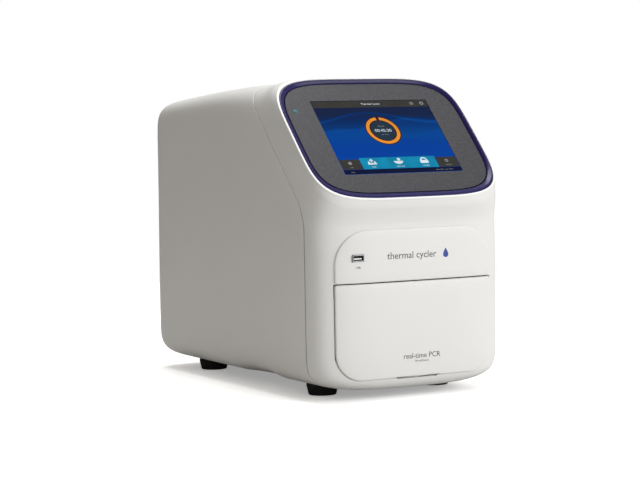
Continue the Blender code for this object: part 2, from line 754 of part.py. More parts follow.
def bracket_motor(name, axis, centre, low, high, plate):
    """A wheel's motor on an upright plate that lets the light pass below it."""
    across = centre[0]
    motor = solid(name, cylinder(axis, centre, 11.0, low, high, 20), BLACK)
    corners = ((across - 18, OPTICS_Z), (across + 18, OPTICS_Z), (across + 18, 326.0),
               (across - 18, 326.0))
    stand = prism(corners, axis, *plate)
    fuse(motor, stand)
    cut(motor, cylinder(axis, (across, AXIS_Z), 13.8, plate[0] - 5, plate[1] + 5, 20))


def make_optics():
    y0 = BLOCK_Y - 41
    low = DECK_Z[1] + GAP
    housing = solid("optics_housing", box(-62.0, 62.0, y0, -84.6, low, HOUSING_TOP), BLACK)
    cut(housing, box(-58.0, 58.0, y0 + 4, -88.6, 180.0, HOUSING_TOP - 4),
        cylinder("Z", (0.0, BLOCK_Y), LENS_RADIUS - 3, 225.0, 245.0, 24))
    bulge = [(LENS_RADIUS * math.cos(a), LENS_Z + 2.0 + 7.0 * math.sin(a))
             for a in (math.radians(18.0 * k) for k in range(5))]
    lens = lathe([(0.0, LENS_Z), (LENS_RADIUS, LENS_Z), *bulge, (0.0, LENS_Z + 9.0)], "Z",
                 (0.0, BLOCK_Y))
    solid("field_lens", lens, GLASS, smooth=True)
    make_fold_mirror()
    splitter = box(-30.0, 30.0, -0.8, 0.8, OPTICS_Z + 0.1, SPLITTER_TOP)
    bmesh.ops.rotate(splitter, verts=splitter.verts[:], cent=(0.0, 0.0, 0.0),
                     matrix=Matrix.Rotation(math.radians(45.0), 3, "Z"))
    bmesh.ops.translate(splitter, verts=splitter.verts[:], vec=(0.0, SPLIT_Y, 0.0))
    solid("beam_splitter", splitter, GLASS)
    left, right = SHELF_X
    under = SHELF_Z - 3.0
    shelf = ((left, low), (left + SHELF_WALL, low), (left + SHELF_WALL, under),
             (right - SHELF_WALL, under), (right - SHELF_WALL, low), (right, low),
             (right, SHELF_Z), (left, SHELF_Z))
    solid("optics_shelf", prism(shelf, "Y", -83.5, 78.0), ALUMINIUM)
    filter_wheel("excitation_wheel", "X", (SPLIT_Y, WHEEL_Z), 47.0, 52.0)
    filter_wheel("emission_wheel", "Y", (0.0, WHEEL_Z), -7.0, -2.0)
    bracket_motor("excitation_motor", "X", (SPLIT_Y, WHEEL_Z), 52.8, 72.0, (66.0, 69.0))
    bracket_motor("emission_motor", "Y", (0.0, WHEEL_Z), -1.2, 20.0, (14.0, 17.0))
    lamp = solid("led_module", cylinder("X", (SPLIT_Y, AXIS_Z), 13.0, 54.0, 82.0, 20),
                 ALUMINIUM, smooth=True)
    fuse(lamp, box(80.0, 93.0, SPLIT_Y - 24, SPLIT_Y + 24, OPTICS_Z, 310.0))
    solid("camera_lens", cylinder("Y", (0.0, AXIS_Z), 13.0, 1.0, 30.0, 20), BLACK, smooth=True)
    solid("camera_body", box(-24.0, 24.0, 30.4, 68.0, OPTICS_Z, 309.0), GREY)


def make_fold_mirror():
    """The mirror that turns the light from the block towards the rear, and its holder."""
    turn = Matrix.Rotation(math.radians(45.0), 3, "X")
    middle = Vector((0.0, BLOCK_Y, AXIS_Z))
    glass = box(-42.0, 42.0, -44.0, 44.0, -1.5, 1.5)
    back = box(-45.0, 45.0, -44.0, 44.0, 1.8, 4.8)
    for mesh in (glass, back):
        bmesh.ops.rotate(mesh, verts=mesh.verts[:], cent=(0.0, 0.0, 0.0), matrix=turn)
        bmesh.ops.translate(mesh, verts=mesh.verts[:], vec=middle)
    solid("fold_mirror", glass, MIRROR)
    mount = solid("mirror_mount", back, BLACK)
    cheek = ((-164.0, 236.3), (-108.0, 236.3), (-87.0, 318.0), (-96.0, 326.0), (-164.0, 258.0))
    fuse(mount, prism(cheek, "X", -46.0, -43.0), prism(cheek, "X", 43.0, 46.0))


def board(name, x0, x1, y0, y1, z0, z1, inward):
    """An upright circuit board with a few tall components on its inner face."""
    made = solid(name, box(x0, x1, y0, y1, z0, z1), BOARD)
    face = x1 if inward > 0 else x0
    for part_y, part_z, size, height in ((y0 + 30, z0 + 30, 24, 8.0), (y0 + 80, z0 + 60, 18, 12.0)):
        across = sorted((face - inward * 0.5, face + inward * height))
        fuse(made, box(*across, part_y, part_y + size, part_z, part_z + size))


def make_electronics():
    low = BASE_Z[1] + GAP
    solid("power_supply", box(12.0, 96.0, 96.0, 210.0, low, 88.0), STEEL)
    board("main_board", -96.0, -94.4, 92.0, 210.0, low, 180.0, 1)
    board("block_driver_board", 94.4, 96.0, 92.0, 210.0, 90.0, 180.0, -1)


def make_fan():
    y0 = 213.5
    y1 = 238.5
    centre = (0.0, FAN_Z)
    frame = solid("fan_frame", box(-FAN_HALF, FAN_HALF, y0, y1, FAN_Z - FAN_HALF, FAN_Z + FAN_HALF),
                  BLACK)
    cut(frame, cylinder("Y", centre, FAN_BORE, y0 - 5, y1 + 5, 32))
    fuse(frame, box(-44.5, 44.5, y1 - 3.5, y1 - 1.5, FAN_Z - 2, FAN_Z + 2),
         box(-2.0, 2.0, y1 - 3.5, y1 - 1.5, FAN_Z - 44.5, FAN_Z + 44.5),
         cylinder("Y", centre, FAN_HUB, y1 - 4, y1 - 1, 20))
    rotor = solid("fan_rotor", cylinder("Y", centre, FAN_HUB, y0 + 1.5, y1 - 5, 24), BLACK,
                  origin=(centre[0], 0.0, centre[1]), smooth=True)
    for k in range(FAN_BLADES):
        blade = box(FAN_HUB - 2, FAN_BORE - 2, -1.0, 1.0, -8.5, 8.5)
        pitch = Matrix.Rotation(math.radians(45.0), 3, "X")
        spin = Matrix.Rotation(2 * math.pi * k / FAN_BLADES, 3, "Y")
        bmesh.ops.rotate(blade, verts=blade.verts[:], cent=(0.0, 0.0, 0.0), matrix=spin @ pitch)
        bmesh.ops.translate(blade, verts=blade.verts[:], vec=(0.0, (y0 + y1 - 3.5) / 2, FAN_Z))
        fuse(rotor, blade)
    rotor.data.set_sharp_from_angle(angle=math.radians(40.0))


def socket(name, at, half, cavity, look, flange=None, depth=(225.0, 245.5), floor=232.0):
    """A panel-mounted port: a body through the panel, an optional flange and an open mouth."""
    x, z = at
    port = solid(name, box(x - half[0], x + half[0], *depth, z - half[1], z + half[1]), look)
    if flange:
        fuse(port, box(x - flange[0], x + flange[0], PANEL_Y[1] + GAP, depth[1],
                       z - flange[1], z + flange[1]))
    return cut(port, box(x - cavity[0], x + cavity[0], floor, 260.0, z - cavity[1], z + cavity[1]))


def make_rear():
    panel = solid("rear_panel", prism(rounded(-PANEL_HALF, PANEL_HALF, *PANEL_Z, 9.6, 9.6, 3),
                                      "Y", *PANEL_Y), STEEL)
    panel_cut = (PANEL_Y[0] - 10.0, PANEL_Y[1] + 7.0)
    openings = []
    for k in range(-3, 4):
        z = FAN_Z + SLAT_PITCH * k
        reach = math.sqrt((FAN_BORE - 1) ** 2 - (SLAT_PITCH * k) ** 2)
        openings.append(box(-reach, reach, *panel_cut, z - 3.0, z + 3.0))
    for at, half in ((INLET_AT, (14.3, 10.3)), (SWITCH_AT, (9.8, 14.8)),
                     (USB_REAR_AT, (7.1, 6.6)), (ETHERNET_AT, (8.4, 7.2))):
        openings.append(box(at[0] - half[0], at[0] + half[0], *panel_cut,
                            at[1] - half[1], at[1] + half[1]))
    for row in range(VENT_ROWS):
        z = VENT_Z + VENT_PITCH * row
        for x0 in (-VENT_LENGTH - VENT_ASIDE, VENT_ASIDE):
            openings.append(box(x0, x0 + VENT_LENGTH, *panel_cut, z, z + VENT_SLOT))
    cut(panel, join(*openings))
    inlet = socket("power_inlet", INLET_AT, (13.9, 9.9), (11.8, 7.8), BLACK, (18.0, 14.0),
                   (222.0, 246.0), 226.0)
    x, z = INLET_AT
    for dx, dz in ((-7.0, -2.0), (7.0, -2.0), (0.0, 2.0)):
        fuse(inlet, box(x + dx - 1.0, x + dx + 1.0, 225.0, 241.0, z + dz - 2.0, z + dz + 2.0))
    socket("switch_housing", SWITCH_AT, (9.4, 14.4), (7.8, 12.8), BLACK, (12.0, 17.0))
    usb = socket("usb_port_rear", USB_REAR_AT, (6.7, 6.2), (4.4, 4.2), STEEL)
    x, z = USB_REAR_AT
    fuse(usb, box(x - 2.9, x + 2.9, 231.0, 240.0, z - 1.6, z + 1.6))
    socket("ethernet_port", ETHERNET_AT, (8.0, 6.8), (6.0, 4.4), STEEL)
    make_rocker()


def make_rocker():
    """The mains switch's rocker, resting in its off position."""
    x, z = SWITCH_AT
    y = PANEL_Y[1]
    side = ((-7.0, -5.0), (-7.0, 5.0), (0.5, 11.2), (3.8, 11.2), (2.0, 0.0), (3.8, -11.2),
            (0.5, -11.2))
    mesh = prism([(y + p[0], z + p[1]) for p in side], "X", x - 7.3, x + 7.3)
    bmesh.ops.rotate(mesh, verts=mesh.verts[:], cent=(x, y, z),
                     matrix=Matrix.Rotation(-ROCKER_TILT, 3, "X"))
    solid("power_rocker", mesh, BLACK, origin=(x, y, z))


def build():
    clear_scene()
    make_body()
    make_feet()
    make_pad()
    make_screen()
    make_chassis()
    make_drawer()
    make_drive()
    make_heated_cover()
    make_optics()
    make_electronics()
    make_fan()
    make_rear()


build()
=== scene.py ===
"""Looks for the benchtop thermal cycler: fine shells, a lit screen, metals, rubber and glass.

Shapes are worked out in millimetres in the row frame (+Z up, front at -Y) and turned into metres
when an object is made. Pieces on the screen are drawn flat, in the screen's own plane.
"""
import math

import bmesh
import bpy
from mathutils import Matrix, Vector


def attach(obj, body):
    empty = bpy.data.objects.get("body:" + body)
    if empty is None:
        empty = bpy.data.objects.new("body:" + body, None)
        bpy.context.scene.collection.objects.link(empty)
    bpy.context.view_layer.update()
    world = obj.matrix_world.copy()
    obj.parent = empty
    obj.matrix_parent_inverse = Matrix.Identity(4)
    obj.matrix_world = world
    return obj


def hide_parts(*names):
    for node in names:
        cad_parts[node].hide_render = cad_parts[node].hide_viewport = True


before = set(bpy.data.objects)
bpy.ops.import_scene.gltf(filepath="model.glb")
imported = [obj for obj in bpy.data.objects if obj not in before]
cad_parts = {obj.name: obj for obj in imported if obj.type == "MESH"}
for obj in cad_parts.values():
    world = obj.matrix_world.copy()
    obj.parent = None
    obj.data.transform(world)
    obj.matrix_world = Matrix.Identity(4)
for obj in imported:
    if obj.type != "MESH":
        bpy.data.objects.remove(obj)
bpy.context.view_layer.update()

MM = 0.001

# The body's form, as in the CAD model
HALF_WIDTH = 135.0
REAR_HALF_WIDTH = 133.0
CHIN_Y = -250.0
FRONT_Y = -241.0
REAR_Y = 250.0
BOTTOM_Z = 12.0
TOP_Z = 400.0
SQUIRCLE = 4.7
REAR_SQUIRCLE = 6.0
REAR_SQUIRCLE_Y = 60.0
SIDE_BOTTOM_Z = 72.0
SIDE_TOP_Z = 322.3
FRONT_CORNER_Y = -173.6
REAR_CORNER = 40.0
CHIN_LOW_Z = 212.0
CHIN_HIGH_Z = 245.0
FRONT_EDGE_RADIUS = 16.0
REAR_EDGE_POWER = 2.4
REAR_TOP_DEPTH = 45.0
REAR_BOTTOM_DEPTH = 38.0
REAR_BOTTOM_HEIGHT = 35.0
LIP_BACK_Y = -97.0
LIP_FLARE = 7.1
LIP_FLARE_LENGTH = 14.0
LIP_STATIONS = 12
CROWN_SLOPE = 0.0346
CROWN_BEND = 0.00009
CAP_KEEP = 0.35
GRIP_Y = (-107.0, 15.0)
GRIP_LIFT = 5.0
GRIP_X = (80.0, 115.0)
GRIP_FADE = 60.0

# The screen
SCREEN_TILT = math.radians(44.5)
SCREEN_CENTRE = (0.0, FRONT_CORNER_Y, SIDE_TOP_Z)
LIP_CENTRE = (0.4, -2.3)
LIP_HALF = (132.0, 105.4)
RIM_CENTRE = (1.2, -2.3)
RIM_HALF = (129.7, 102.4)
FASCIA_CENTRE = (2.5, 0.3)
FASCIA_HALF = (123.0, 93.8)
FILM_GAP = 0.7
DISPLAY = (-81.0, 87.4, -61.9, 64.1)
PICTURE_X = 2.0
STATUS_AT = (-107.8, 47.6)
# Each line of light on the picture: level, swing, pitch (per metre), phase, width, strength
WAVES = (
    (34.0, 9.0, 34.0, 1.9, 2.2, 0.16),
    (19.0, 12.0, 26.0, 0.3, 3.2, 0.10),
    (4.0, 10.0, 38.0, 3.6, 2.6, 0.08),
)
WAVE_VEIL = 0.05
GLASS_GLEAM = 0.03
# The picture's tones (0-255), from its foot up
PICTURE_TONES = (
    (0.0, (1, 66, 160)),
    (0.22, (1, 62, 153)),
    (0.4, (2, 70, 146)),
    (0.54, (3, 56, 122)),
    (0.68, (8, 40, 92)),
    (0.82, (22, 34, 68)),
)
# The picture's patches: where they start, where the lowest would end, and each layer's step
PICTURE_FOOT = -3.62
PICTURE_FACE = -3.58
PICTURE_LAYER = 0.04
LIP_TAPER = 2.8
LIP_TAPER_DEPTH = 60.0
LIP_BAND = 10.0
LIP_RADIUS = 0.9
LIP_POWER = 1.25
RIM_GAP = 0.3

# Seams and openings
SEAM_Y = -204.5
SEAM_BEND_Z = 230.05
SEAM_BEND_RADIUS = 60.0
SEAM_GAP = 1.6
EDGE = 0.45
PAD_HALF = 111.0
PAD_RISE = 2.0
PAD_EDGE = 1.9
PAD_Z = (26.0, 209.0)
PAD_RADII = (34.0, 43.0)
PAD_GAP = 0.03
PAD_OVERLAP = 2.5
PORT_EDGE = 0.4
FRONT_WALL = 2.4
COVER_WALL = 2.6
PAD_WALL = 3.0
# How far in the black seam strip sits, from its face to its back: painted shade in the seam gap
SEAM_SHADE_INSET = (0.8, 3.2)
SLIT_Z = 144.3
SLIT = 1.3
PANEL_HALF = 103.6
PANEL_Z = (40.4, 317.6)
USB_FRONT = (-81.0, 175.5)
GRIP_HALF = 28.0
PRINT_PROUD = 0.1
PRINT_THICK = 0.03
SKIN_DEPTH = 5.0
PAD_SKIN_DEPTH = 5.5
# Cutting tools: past the body on every side, through its front, and ahead of and above it
PAST = (-200.0, 200.0)
FRONT_CUT = (-260.0, -215.0)
PAD_CUT = (-270.0, -215.0)
AHEAD_Y = -300.0
ABOVE_Z = 430.0

BLOCK_Y = -125.0
BLOCK_HALF = (57.5, 38.5)
BLOCK_Z = (96.6, 128.0)
WELL_PITCH = 9.0
WELL_DEPTH = 14.5
FAN_Z = 196.0
REAR_PANEL_Y = 243.0
FOOT_AT = ((-82.0, -147.0), (82.0, -147.0), (-82.0, 168.0), (82.0, 168.0))


# ---- mesh helpers

def on_axis(axis, a, b, along):
    """A point from two coordinates across a row axis and one along it."""
    return {"X": (along, a, b), "Y": (a, along, b), "Z": (a, b, along)}[axis]


def weld(mesh, distance):
    bmesh.ops.remove_doubles(mesh, verts=mesh.verts[:], dist=distance)


def faced_out(mesh):
    bmesh.ops.recalc_face_normals(mesh, faces=mesh.faces[:])
    return mesh


def bridge(mesh, lower, upper):
    """Quads between two equal rings of vertices."""
    for i in range(len(lower)):
        j = (i + 1) % len(lower)
        mesh.faces.new((lower[i], lower[j], upper[j], upper[i]))


def sew(mesh, a, b):
    """Quads between two equal columns of vertices."""
    for k in range(len(a) - 1):
        mesh.faces.new((a[k], b[k], b[k + 1], a[k + 1]))


def prism(points, axis, low, high):
    """Extrude a closed outline along a row axis."""
    mesh = bmesh.new()
    near = [mesh.verts.new(on_axis(axis, *p, low)) for p in points]
    far = [mesh.verts.new(on_axis(axis, *p, high)) for p in points]
    mesh.faces.new(near)
    mesh.faces.new(list(reversed(far)))
    for i in range(len(points)):
        j = (i + 1) % len(points)
        mesh.faces.new((near[i], far[i], far[j], near[j]))
    return faced_out(mesh)


def box(x0, x1, y0, y1, z0, z1):
    return prism(((x0, y0), (x1, y0), (x1, y1), (x0, y1)), "Z", z0, z1)


def circle(centre, radius, sides):
    return [
        (centre[0] + radius * math.cos(2 * math.pi * i / sides),
         centre[1] + radius * math.sin(2 * math.pi * i / sides))
        for i in range(sides)
    ]


def rounded(x0, x1, z0, z1, low_radius, high_radius, steps=12):
    """A rectangle with one radius on its lower corners and one on its upper corners."""
    corners = (
        (x1 - low_radius, z0 + low_radius, low_radius, -90),
        (x1 - high_radius, z1 - high_radius, high_radius, 0),
        (x0 + high_radius, z1 - high_radius, high_radius, 90),
        (x0 + low_radius, z0 + low_radius, low_radius, 180),
    )
    points = []
    for cx, cz, radius, start in corners:
        for k in range(steps + 1):
            angle = math.radians(start + 90.0 * k / steps)
            points.append((cx + radius * math.cos(angle), cz + radius * math.sin(angle)))
    return points


def squircle(half, centre=(0.0, 0.0), sides=160):
    points = []
    for i in range(sides):
        angle = 2 * math.pi * i / sides
        c = math.cos(angle)
        s = math.sin(angle)
        points.append((
            centre[0] + math.copysign(half[0] * abs(c) ** (2 / SQUIRCLE), c),
            centre[1] + math.copysign(half[1] * abs(s) ** (2 / SQUIRCLE), s),
        ))
    return points


def stack(rings, closed=True):
    """Bridge equal rings of points into one skin; closed also bridges the last to the first."""
    mesh = bmesh.new()
    loops = [[mesh.verts.new(p) for p in ring] for ring in rings]
    for lower, upper in zip(loops, loops[1:] + loops[:1] * closed):
        bridge(mesh, lower, upper)
    if not closed:
        mesh.faces.new(list(reversed(loops[0])))
        mesh.faces.new(loops[-1])
    return faced_out(mesh)


def turned(profile, axis="Z", centre=(0.0, 0.0, 0.0), sides=48):
    """Turn (radius, height) points about an axis through the centre."""
    rings = [[tuple(map(sum, zip(centre, on_axis(axis, a, b, t))))
              for a, b in circle((0.0, 0.0), r, sides)] for r, t in profile]
    return stack(rings, closed=False)


def join(*meshes):
    whole = bmesh.new()
    for mesh in meshes:
        copy = {v: whole.verts.new(v.co) for v in mesh.verts}
        for face in mesh.faces:
            whole.faces.new([copy[v] for v in face.verts])
        mesh.free()
    return whole


def moved(mesh, offset, turn=0.0, about="Z"):
    bmesh.ops.rotate(mesh, verts=mesh.verts[:], cent=(0.0, 0.0, 0.0),
                     matrix=Matrix.Rotation(turn, 3, about))
    bmesh.ops.translate(mesh, verts=mesh.verts[:], vec=offset)
    return mesh


def screen_matrix(scale):
    """From screen coordinates (across, up the slope, outward) to the row frame."""
    up = Vector((0.0, math.sin(SCREEN_TILT), math.cos(SCREEN_TILT)))
    out = Vector((0.0, -math.cos(SCREEN_TILT), math.sin(SCREEN_TILT)))
    x, y, z = (value * scale for value in SCREEN_CENTRE)
    return Matrix((
        (1.0, up.x, out.x, x),
        (0.0, up.y, out.y, y),
        (0.0, up.z, out.z, z),
        (0.0, 0.0, 0.0, 1.0),
    ))


def new_object(name, data):
    made = bpy.data.objects.new(name, data)
    bpy.context.scene.collection.objects.link(made)
    return made


def as_object(name, mesh):
    """Hand a mesh over to a new object in the scene."""
    data = bpy.data.meshes.new(name)
    mesh.to_mesh(data)
    mesh.free()
    return new_object(name, data)


def finished_mesh(item):
    """The mesh an object ends up with; the object itself is removed."""
    bpy.context.view_layer.update()
    seen = item.evaluated_get(bpy.context.evaluated_depsgraph_get())
    data = bpy.data.meshes.new_from_object(seen)
    bpy.data.objects.remove(item, do_unlink=True)
    mesh = bmesh.new()
    mesh.from_mesh(data)
    bpy.data.meshes.remove(data)
    return mesh


def temporary(mesh, slot_index):
    """An unseen object for a Boolean, with every face in the given material slot."""
    made = as_object("temporary", mesh)
    for look in SPARE:
        made.data.materials.append(look)
    faces = made.data.polygons
    faces.foreach_set("material_index", [slot_index] * len(faces))
    return made


def carve(mesh, cuts, keep=None):
    """Keep what is inside one mesh, then cut others away; faces that they make get slot 1."""
    target = temporary(mesh, 0)
    tools = [] if keep is None else [(keep, "INTERSECT")]
    cutters = []
    for tool, operation in tools + [(cut, "DIFFERENCE") for cut in cuts]:
        cutter = temporary(tool, 1)
        change = target.modifiers.new("carve", "BOOLEAN")
        change.object = cutter
        change.operation = operation
        change.solver = "EXACT"
        cutters.append(cutter)
    result = finished_mesh(target)
    for cutter in cutters:
        bpy.data.objects.remove(cutter, do_unlink=True)
    return result


def piece(name, mesh, look, body="chassis", replaces=(), on_screen=False,
          sharp=35.0, bevel=0.0):
    """Make a finished piece from a mesh in millimetres and let it ride on its body."""
    for vert in mesh.verts:
        vert.co *= MM
    for face in mesh.faces:
        face.material_index = 0
    made = as_object(name, mesh)
    made.data.materials.append(look)
    made.data.shade_smooth()
    made.data.set_sharp_from_angle(angle=math.radians(sharp))
    if on_screen:
        made.matrix_world = screen_matrix(MM)
    if bevel:
        soften(made, bevel)
    bpy.context.view_layer.update()
    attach(made, body)
    if replaces:
        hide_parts(*replaces)
    return made


def soften(item, width):
    """Round off the sharp edges of an object a little."""
    edge = item.modifiers.new("soft_edges", "BEVEL")
    edge.width = width * MM
    edge.segments = 2
    edge.limit_method = "ANGLE"
    edge.angle_limit = math.radians(35.0)
    edge.harden_normals = True


def lettering(name, words, height, at, depth, on_screen=False):
    """Raised letters as a mesh, read from the front or from the screen's outside."""
    font = bpy.data.curves.new(name, "FONT")
    font.body = words
    font.size = height
    font.extrude = depth
    font.align_x = font.align_y = "CENTER"
    font.resolution_u = 3
    mesh = finished_mesh(new_object(name, font))
    weld(mesh, 0.001)
    return moved(mesh, at, 0.0 if on_screen else math.radians(90.0), "X")


# ---- materials

def linear(red, green, blue):
    """A colour given in 0-255 display values, as linear light."""
    def one(value):
        value /= 255.0
        return value / 12.92 if value <= 0.04045 else ((value + 0.055) / 1.055) ** 2.4
    return (one(red), one(green), one(blue))


class Graph:
    """Adds nodes to the tree of a new material or world, and links them."""

    def __init__(self, name, kind=bpy.data.materials):
        self.owner = kind.new(name)
        self.owner.use_nodes = True
        self.tree = self.owner.node_tree
        self.shader = self.tree.nodes.get("Principled BSDF")
        self.places = self.add("ShaderNodeTexCoord").outputs

    def feed(self, node, inputs):
        """Give inputs, by name or number, a fixed value or a link from an output."""
        for key, value in inputs.items():
            if isinstance(value, bpy.types.NodeSocket):
                self.tree.links.new(value, node.inputs[key])
            else:
                node.inputs[key].default_value = value

    def add(self, kind, inputs=None, **settings):
        """A new node with its settings and inputs."""
        node = self.tree.nodes.new(kind)
        for key, value in settings.items():
            setattr(node, key, value)
        self.feed(node, inputs or {})
        return node

    def mapped(self, values):
        """The object's own coordinates, scaled or turned."""
        values = {"Vector": self.places["Object"], **values}
        return self.add("ShaderNodeMapping", values).outputs["Vector"]

    def noise(self, scale, detail=3.0, stretch=(1.0, 1.0, 1.0)):
        """Noise over the surface; stretch scales the coordinates along each axis."""
        values = {"Scale": scale, "Detail": detail, "Vector": self.mapped({"Scale": stretch})}
        return self.add("ShaderNodeTexNoise", values).outputs["Fac"]

    def ramp(self, source, stops):
        """Map a value through (position, colour) stops."""
        node = self.add("ShaderNodeValToRGB", {"Fac": source})
        entries = node.color_ramp.elements
        while len(entries) < len(stops):
            entries.new(0.5)
        for entry, (position, colour) in zip(entries, stops):
            entry.position = position
            entry.color = (*colour, 1.0)
        return node.outputs["Color"]

    def drifting(self, tone, colour, drift, low=0.3, high=0.7):
        """A colour that goes a little darker and lighter with a value."""
        return self.ramp(tone, ((low, shade(colour, 1 - drift)), (high, shade(colour, 1 + drift))))

    def span(self, source, low, high):
        """Map a 0-1 value onto a range."""
        values = {"Value": source, "To Min": low, "To Max": high}
        return self.add("ShaderNodeMapRange", values).outputs["Result"]

    def finish(self, bump=None, grain=0.0, **inputs):
        """Feed the shader; underscores stand for spaces in the names of its inputs."""
        if bump:
            values = {"Height": bump, "Distance": grain, "Strength": 1.0}
            inputs["Normal"] = self.add("ShaderNodeBump", values).outputs["Normal"]
        self.feed(self.shader, {key.replace("_", " "): value for key, value in inputs.items()})
        return self.owner

    def split_rays(self, light, seen, output):
        """Show the camera one shader and light the scene with another."""
        ray = self.add("ShaderNodeLightPath").outputs["Is Camera Ray"]
        pick = self.add("ShaderNodeMixShader", {"Fac": ray, 1: light, 2: seen})
        self.feed(self.tree.nodes[output], {"Surface": pick.outputs["Shader"]})


def shade(colour, factor):
    return tuple(min(1.0, value * factor) for value in colour)


def moulded(name, colour, roughness, grain=0.00004, scale=1400.0, drift=0.03, specular=0.5):
    """Moulded plastic or rubber: fine spark texture, faint tone drift and uneven gloss."""
    graph = Graph(name)
    return graph.finish(
        graph.noise(scale, 2.0), grain,
        Base_Color=graph.drifting(graph.noise(9.0, 4.0), colour, drift),
        Roughness=graph.span(graph.noise(35.0, 5.0), roughness - 0.06, roughness + 0.06),
        Specular_IOR_Level=specular)


def metal(name, colour, roughness, brushed, grain=0.00003, drift=0.05):
    """Bare or plated metal; brushed stretches the grain along one axis."""
    graph = Graph(name)
    lines = graph.noise(900.0, 2.0, brushed)
    return graph.finish(
        lines, grain, Metallic=1.0,
        Base_Color=graph.drifting(graph.noise(26.0, 6.0), colour, drift, 0.25, 0.75),
        Roughness=graph.span(lines, roughness - 0.08, roughness + 0.1))


def fascia_look():
    """Dark grey film with a fine printed dot weave that looks slightly cloudy from afar."""
    graph = Graph("fascia_grey")
    flat = graph.mapped({"Scale": (520.0, 520.0, 0.0)})
    dots = graph.add("ShaderNodeTexVoronoi", {"Scale": 1.0, "Randomness": 0.3, "Vector": flat},
                     distance="CHEBYCHEV").outputs["Distance"]
    blend = graph.add("ShaderNodeMath", {0: graph.noise(430.0), 1: 0.9, 2: dots},
                      operation="MULTIPLY_ADD").outputs["Value"]
    base = linear(53, 53, 58)
    return graph.finish(
        dots, 0.00003,
        Base_Color=graph.ramp(blend, ((0.45, shade(base, 1.7)), (1.0, shade(base, 0.6)))),
        Roughness=graph.span(graph.noise(60.0, 4.0), 0.42, 0.55),
        Specular_IOR_Level=0.45)


def display_look():
    """The lit picture behind the glass: navy above, bright blue below, with soft wave lines."""
    graph = Graph("display_glass")

    def maths(operation, *values):
        node = graph.add("ShaderNodeMath", dict(enumerate(values)), operation=operation)
        return node.outputs["Value"]

    split = graph.add("ShaderNodeSeparateXYZ", {"Vector": graph.places["Object"]})
    across, up = split.outputs["X"], split.outputs["Y"]
    height = graph.add("ShaderNodeMapRange", {
        "Value": up, "From Min": DISPLAY[2] * MM, "From Max": DISPLAY[3] * MM})
    glow = veil = 0.0
    for level, swing, pitch, phase, width, power in WAVES:
        wave = maths("SINE", maths("MULTIPLY_ADD", across, pitch, phase))
        gap = maths("SUBTRACT", up, maths("MULTIPLY_ADD", wave, swing * MM, level * MM))
        near = maths("DIVIDE", gap, width * MM)
        falloff = maths("EXPONENT", maths("MULTIPLY", maths("MULTIPLY", near, near), -1.0))
        glow = maths("MULTIPLY_ADD", falloff, power, glow)
        veil = maths("MULTIPLY_ADD", maths("LESS_THAN", gap, 0.0), WAVE_VEIL, veil)
    shift = maths("SUBTRACT", maths("SUBTRACT", height.outputs["Result"], veil), glow)
    return graph.finish(
        Emission_Color=graph.ramp(shift, [(at, linear(*tone)) for at, tone in PICTURE_TONES]),
        Emission_Strength=0.95,
        Base_Color=(0.0, 0.001, 0.003, 1.0), Specular_IOR_Level=GLASS_GLEAM,
        Roughness=graph.span(graph.noise(40.0, 2.0), 0.1, 0.16))


def lit(name, colour, drift=0.08):
    """A patch of the picture, drawn in one colour with a little variation."""
    graph = Graph(name)
    return graph.finish(
        Emission_Color=graph.drifting(graph.noise(60.0, 2.0), colour, drift),
        Emission_Strength=0.9, Base_Color=(0.002, 0.002, 0.002, 1.0),
        Specular_IOR_Level=GLASS_GLEAM, Roughness=0.15)


def glass_look():
    graph = Graph("optical_glass")
    return graph.finish(
        Base_Color=(0.85, 0.93, 0.96, 1.0), Transmission_Weight=0.9,
        Roughness=graph.span(graph.noise(50.0), 0.01, 0.06))


def board_look():
    """Green solder mask with pale copper tracks under it."""
    graph = Graph("circuit_board")
    tracks = graph.add("ShaderNodeTexBrick", {
        "Scale": 160.0, "Color1": (0.010, 0.10, 0.045, 1.0), "Color2": (0.012, 0.13, 0.055, 1.0),
        "Mortar": (0.03, 0.22, 0.10, 1.0), "Mortar Size": 0.06,
        "Vector": graph.mapped({"Rotation": (0.0, math.radians(90.0), 0.0)})})
    return graph.finish(Base_Color=tracks.outputs["Color"], Roughness=0.35)


SPARE = [bpy.data.materials.new(name) for name in ("spare_0", "spare_1")]
WHITE = moulded("shell_white", (0.80, 0.80, 0.79), 0.42, 0.000035, 1500.0, 0.012)
NAVY = moulded("rim_navy", linear(29, 23, 80), 0.25, 0.00001, 900.0, 0.06, 0.22)
BLACK = moulded("black_plastic", (0.022, 0.022, 0.023), 0.5, 0.00005, 1200.0, 0.12)
RUBBER = moulded("foot_rubber", (0.015, 0.015, 0.015), 0.75, 0.00006, 700.0, 0.2, 0.3)
DARK_GREY = moulded("dark_grey", (0.10, 0.10, 0.105), 0.5, 0.00006, 1100.0, 0.08)
INK = moulded("print_grey", linear(74, 76, 78), 0.5, 0.000005, 900.0, 0.05)
INK_BLUE = moulded("print_blue", linear(40, 62, 150), 0.4, 0.000005, 900.0, 0.05)
CERAMIC = moulded("ceramic_white", (0.84, 0.84, 0.81), 0.5, 0.00002, 800.0, 0.03)
TEAL = moulded("status_teal", linear(48, 104, 112), 0.6, 0.000005, 900.0, 0.05)
STEEL = metal("sheet_steel", (0.56, 0.57, 0.59), 0.36, (1.0, 0.05, 1.0))
SHAFT = metal("screw_steel", (0.60, 0.61, 0.63), 0.22, (1.0, 1.0, 1.0))
ALUMINIUM = metal("aluminium", (0.78, 0.79, 0.81), 0.34, (0.06, 1.0, 1.0))
BLOCK_METAL = metal("block_metal", (0.80, 0.80, 0.82), 0.30, (1.0, 0.08, 1.0), 0.00001)
BRONZE = metal("bronze", (0.62, 0.44, 0.14), 0.30, (1.0, 0.1, 1.0))
NICKEL = metal("connector_metal", (0.52, 0.52, 0.54), 0.25, (1.0, 0.2, 1.0))
MIRROR = metal("mirror", (0.86, 0.88, 0.90), 0.10, (1.0, 1.0, 1.0), 0.000001, 0.01)
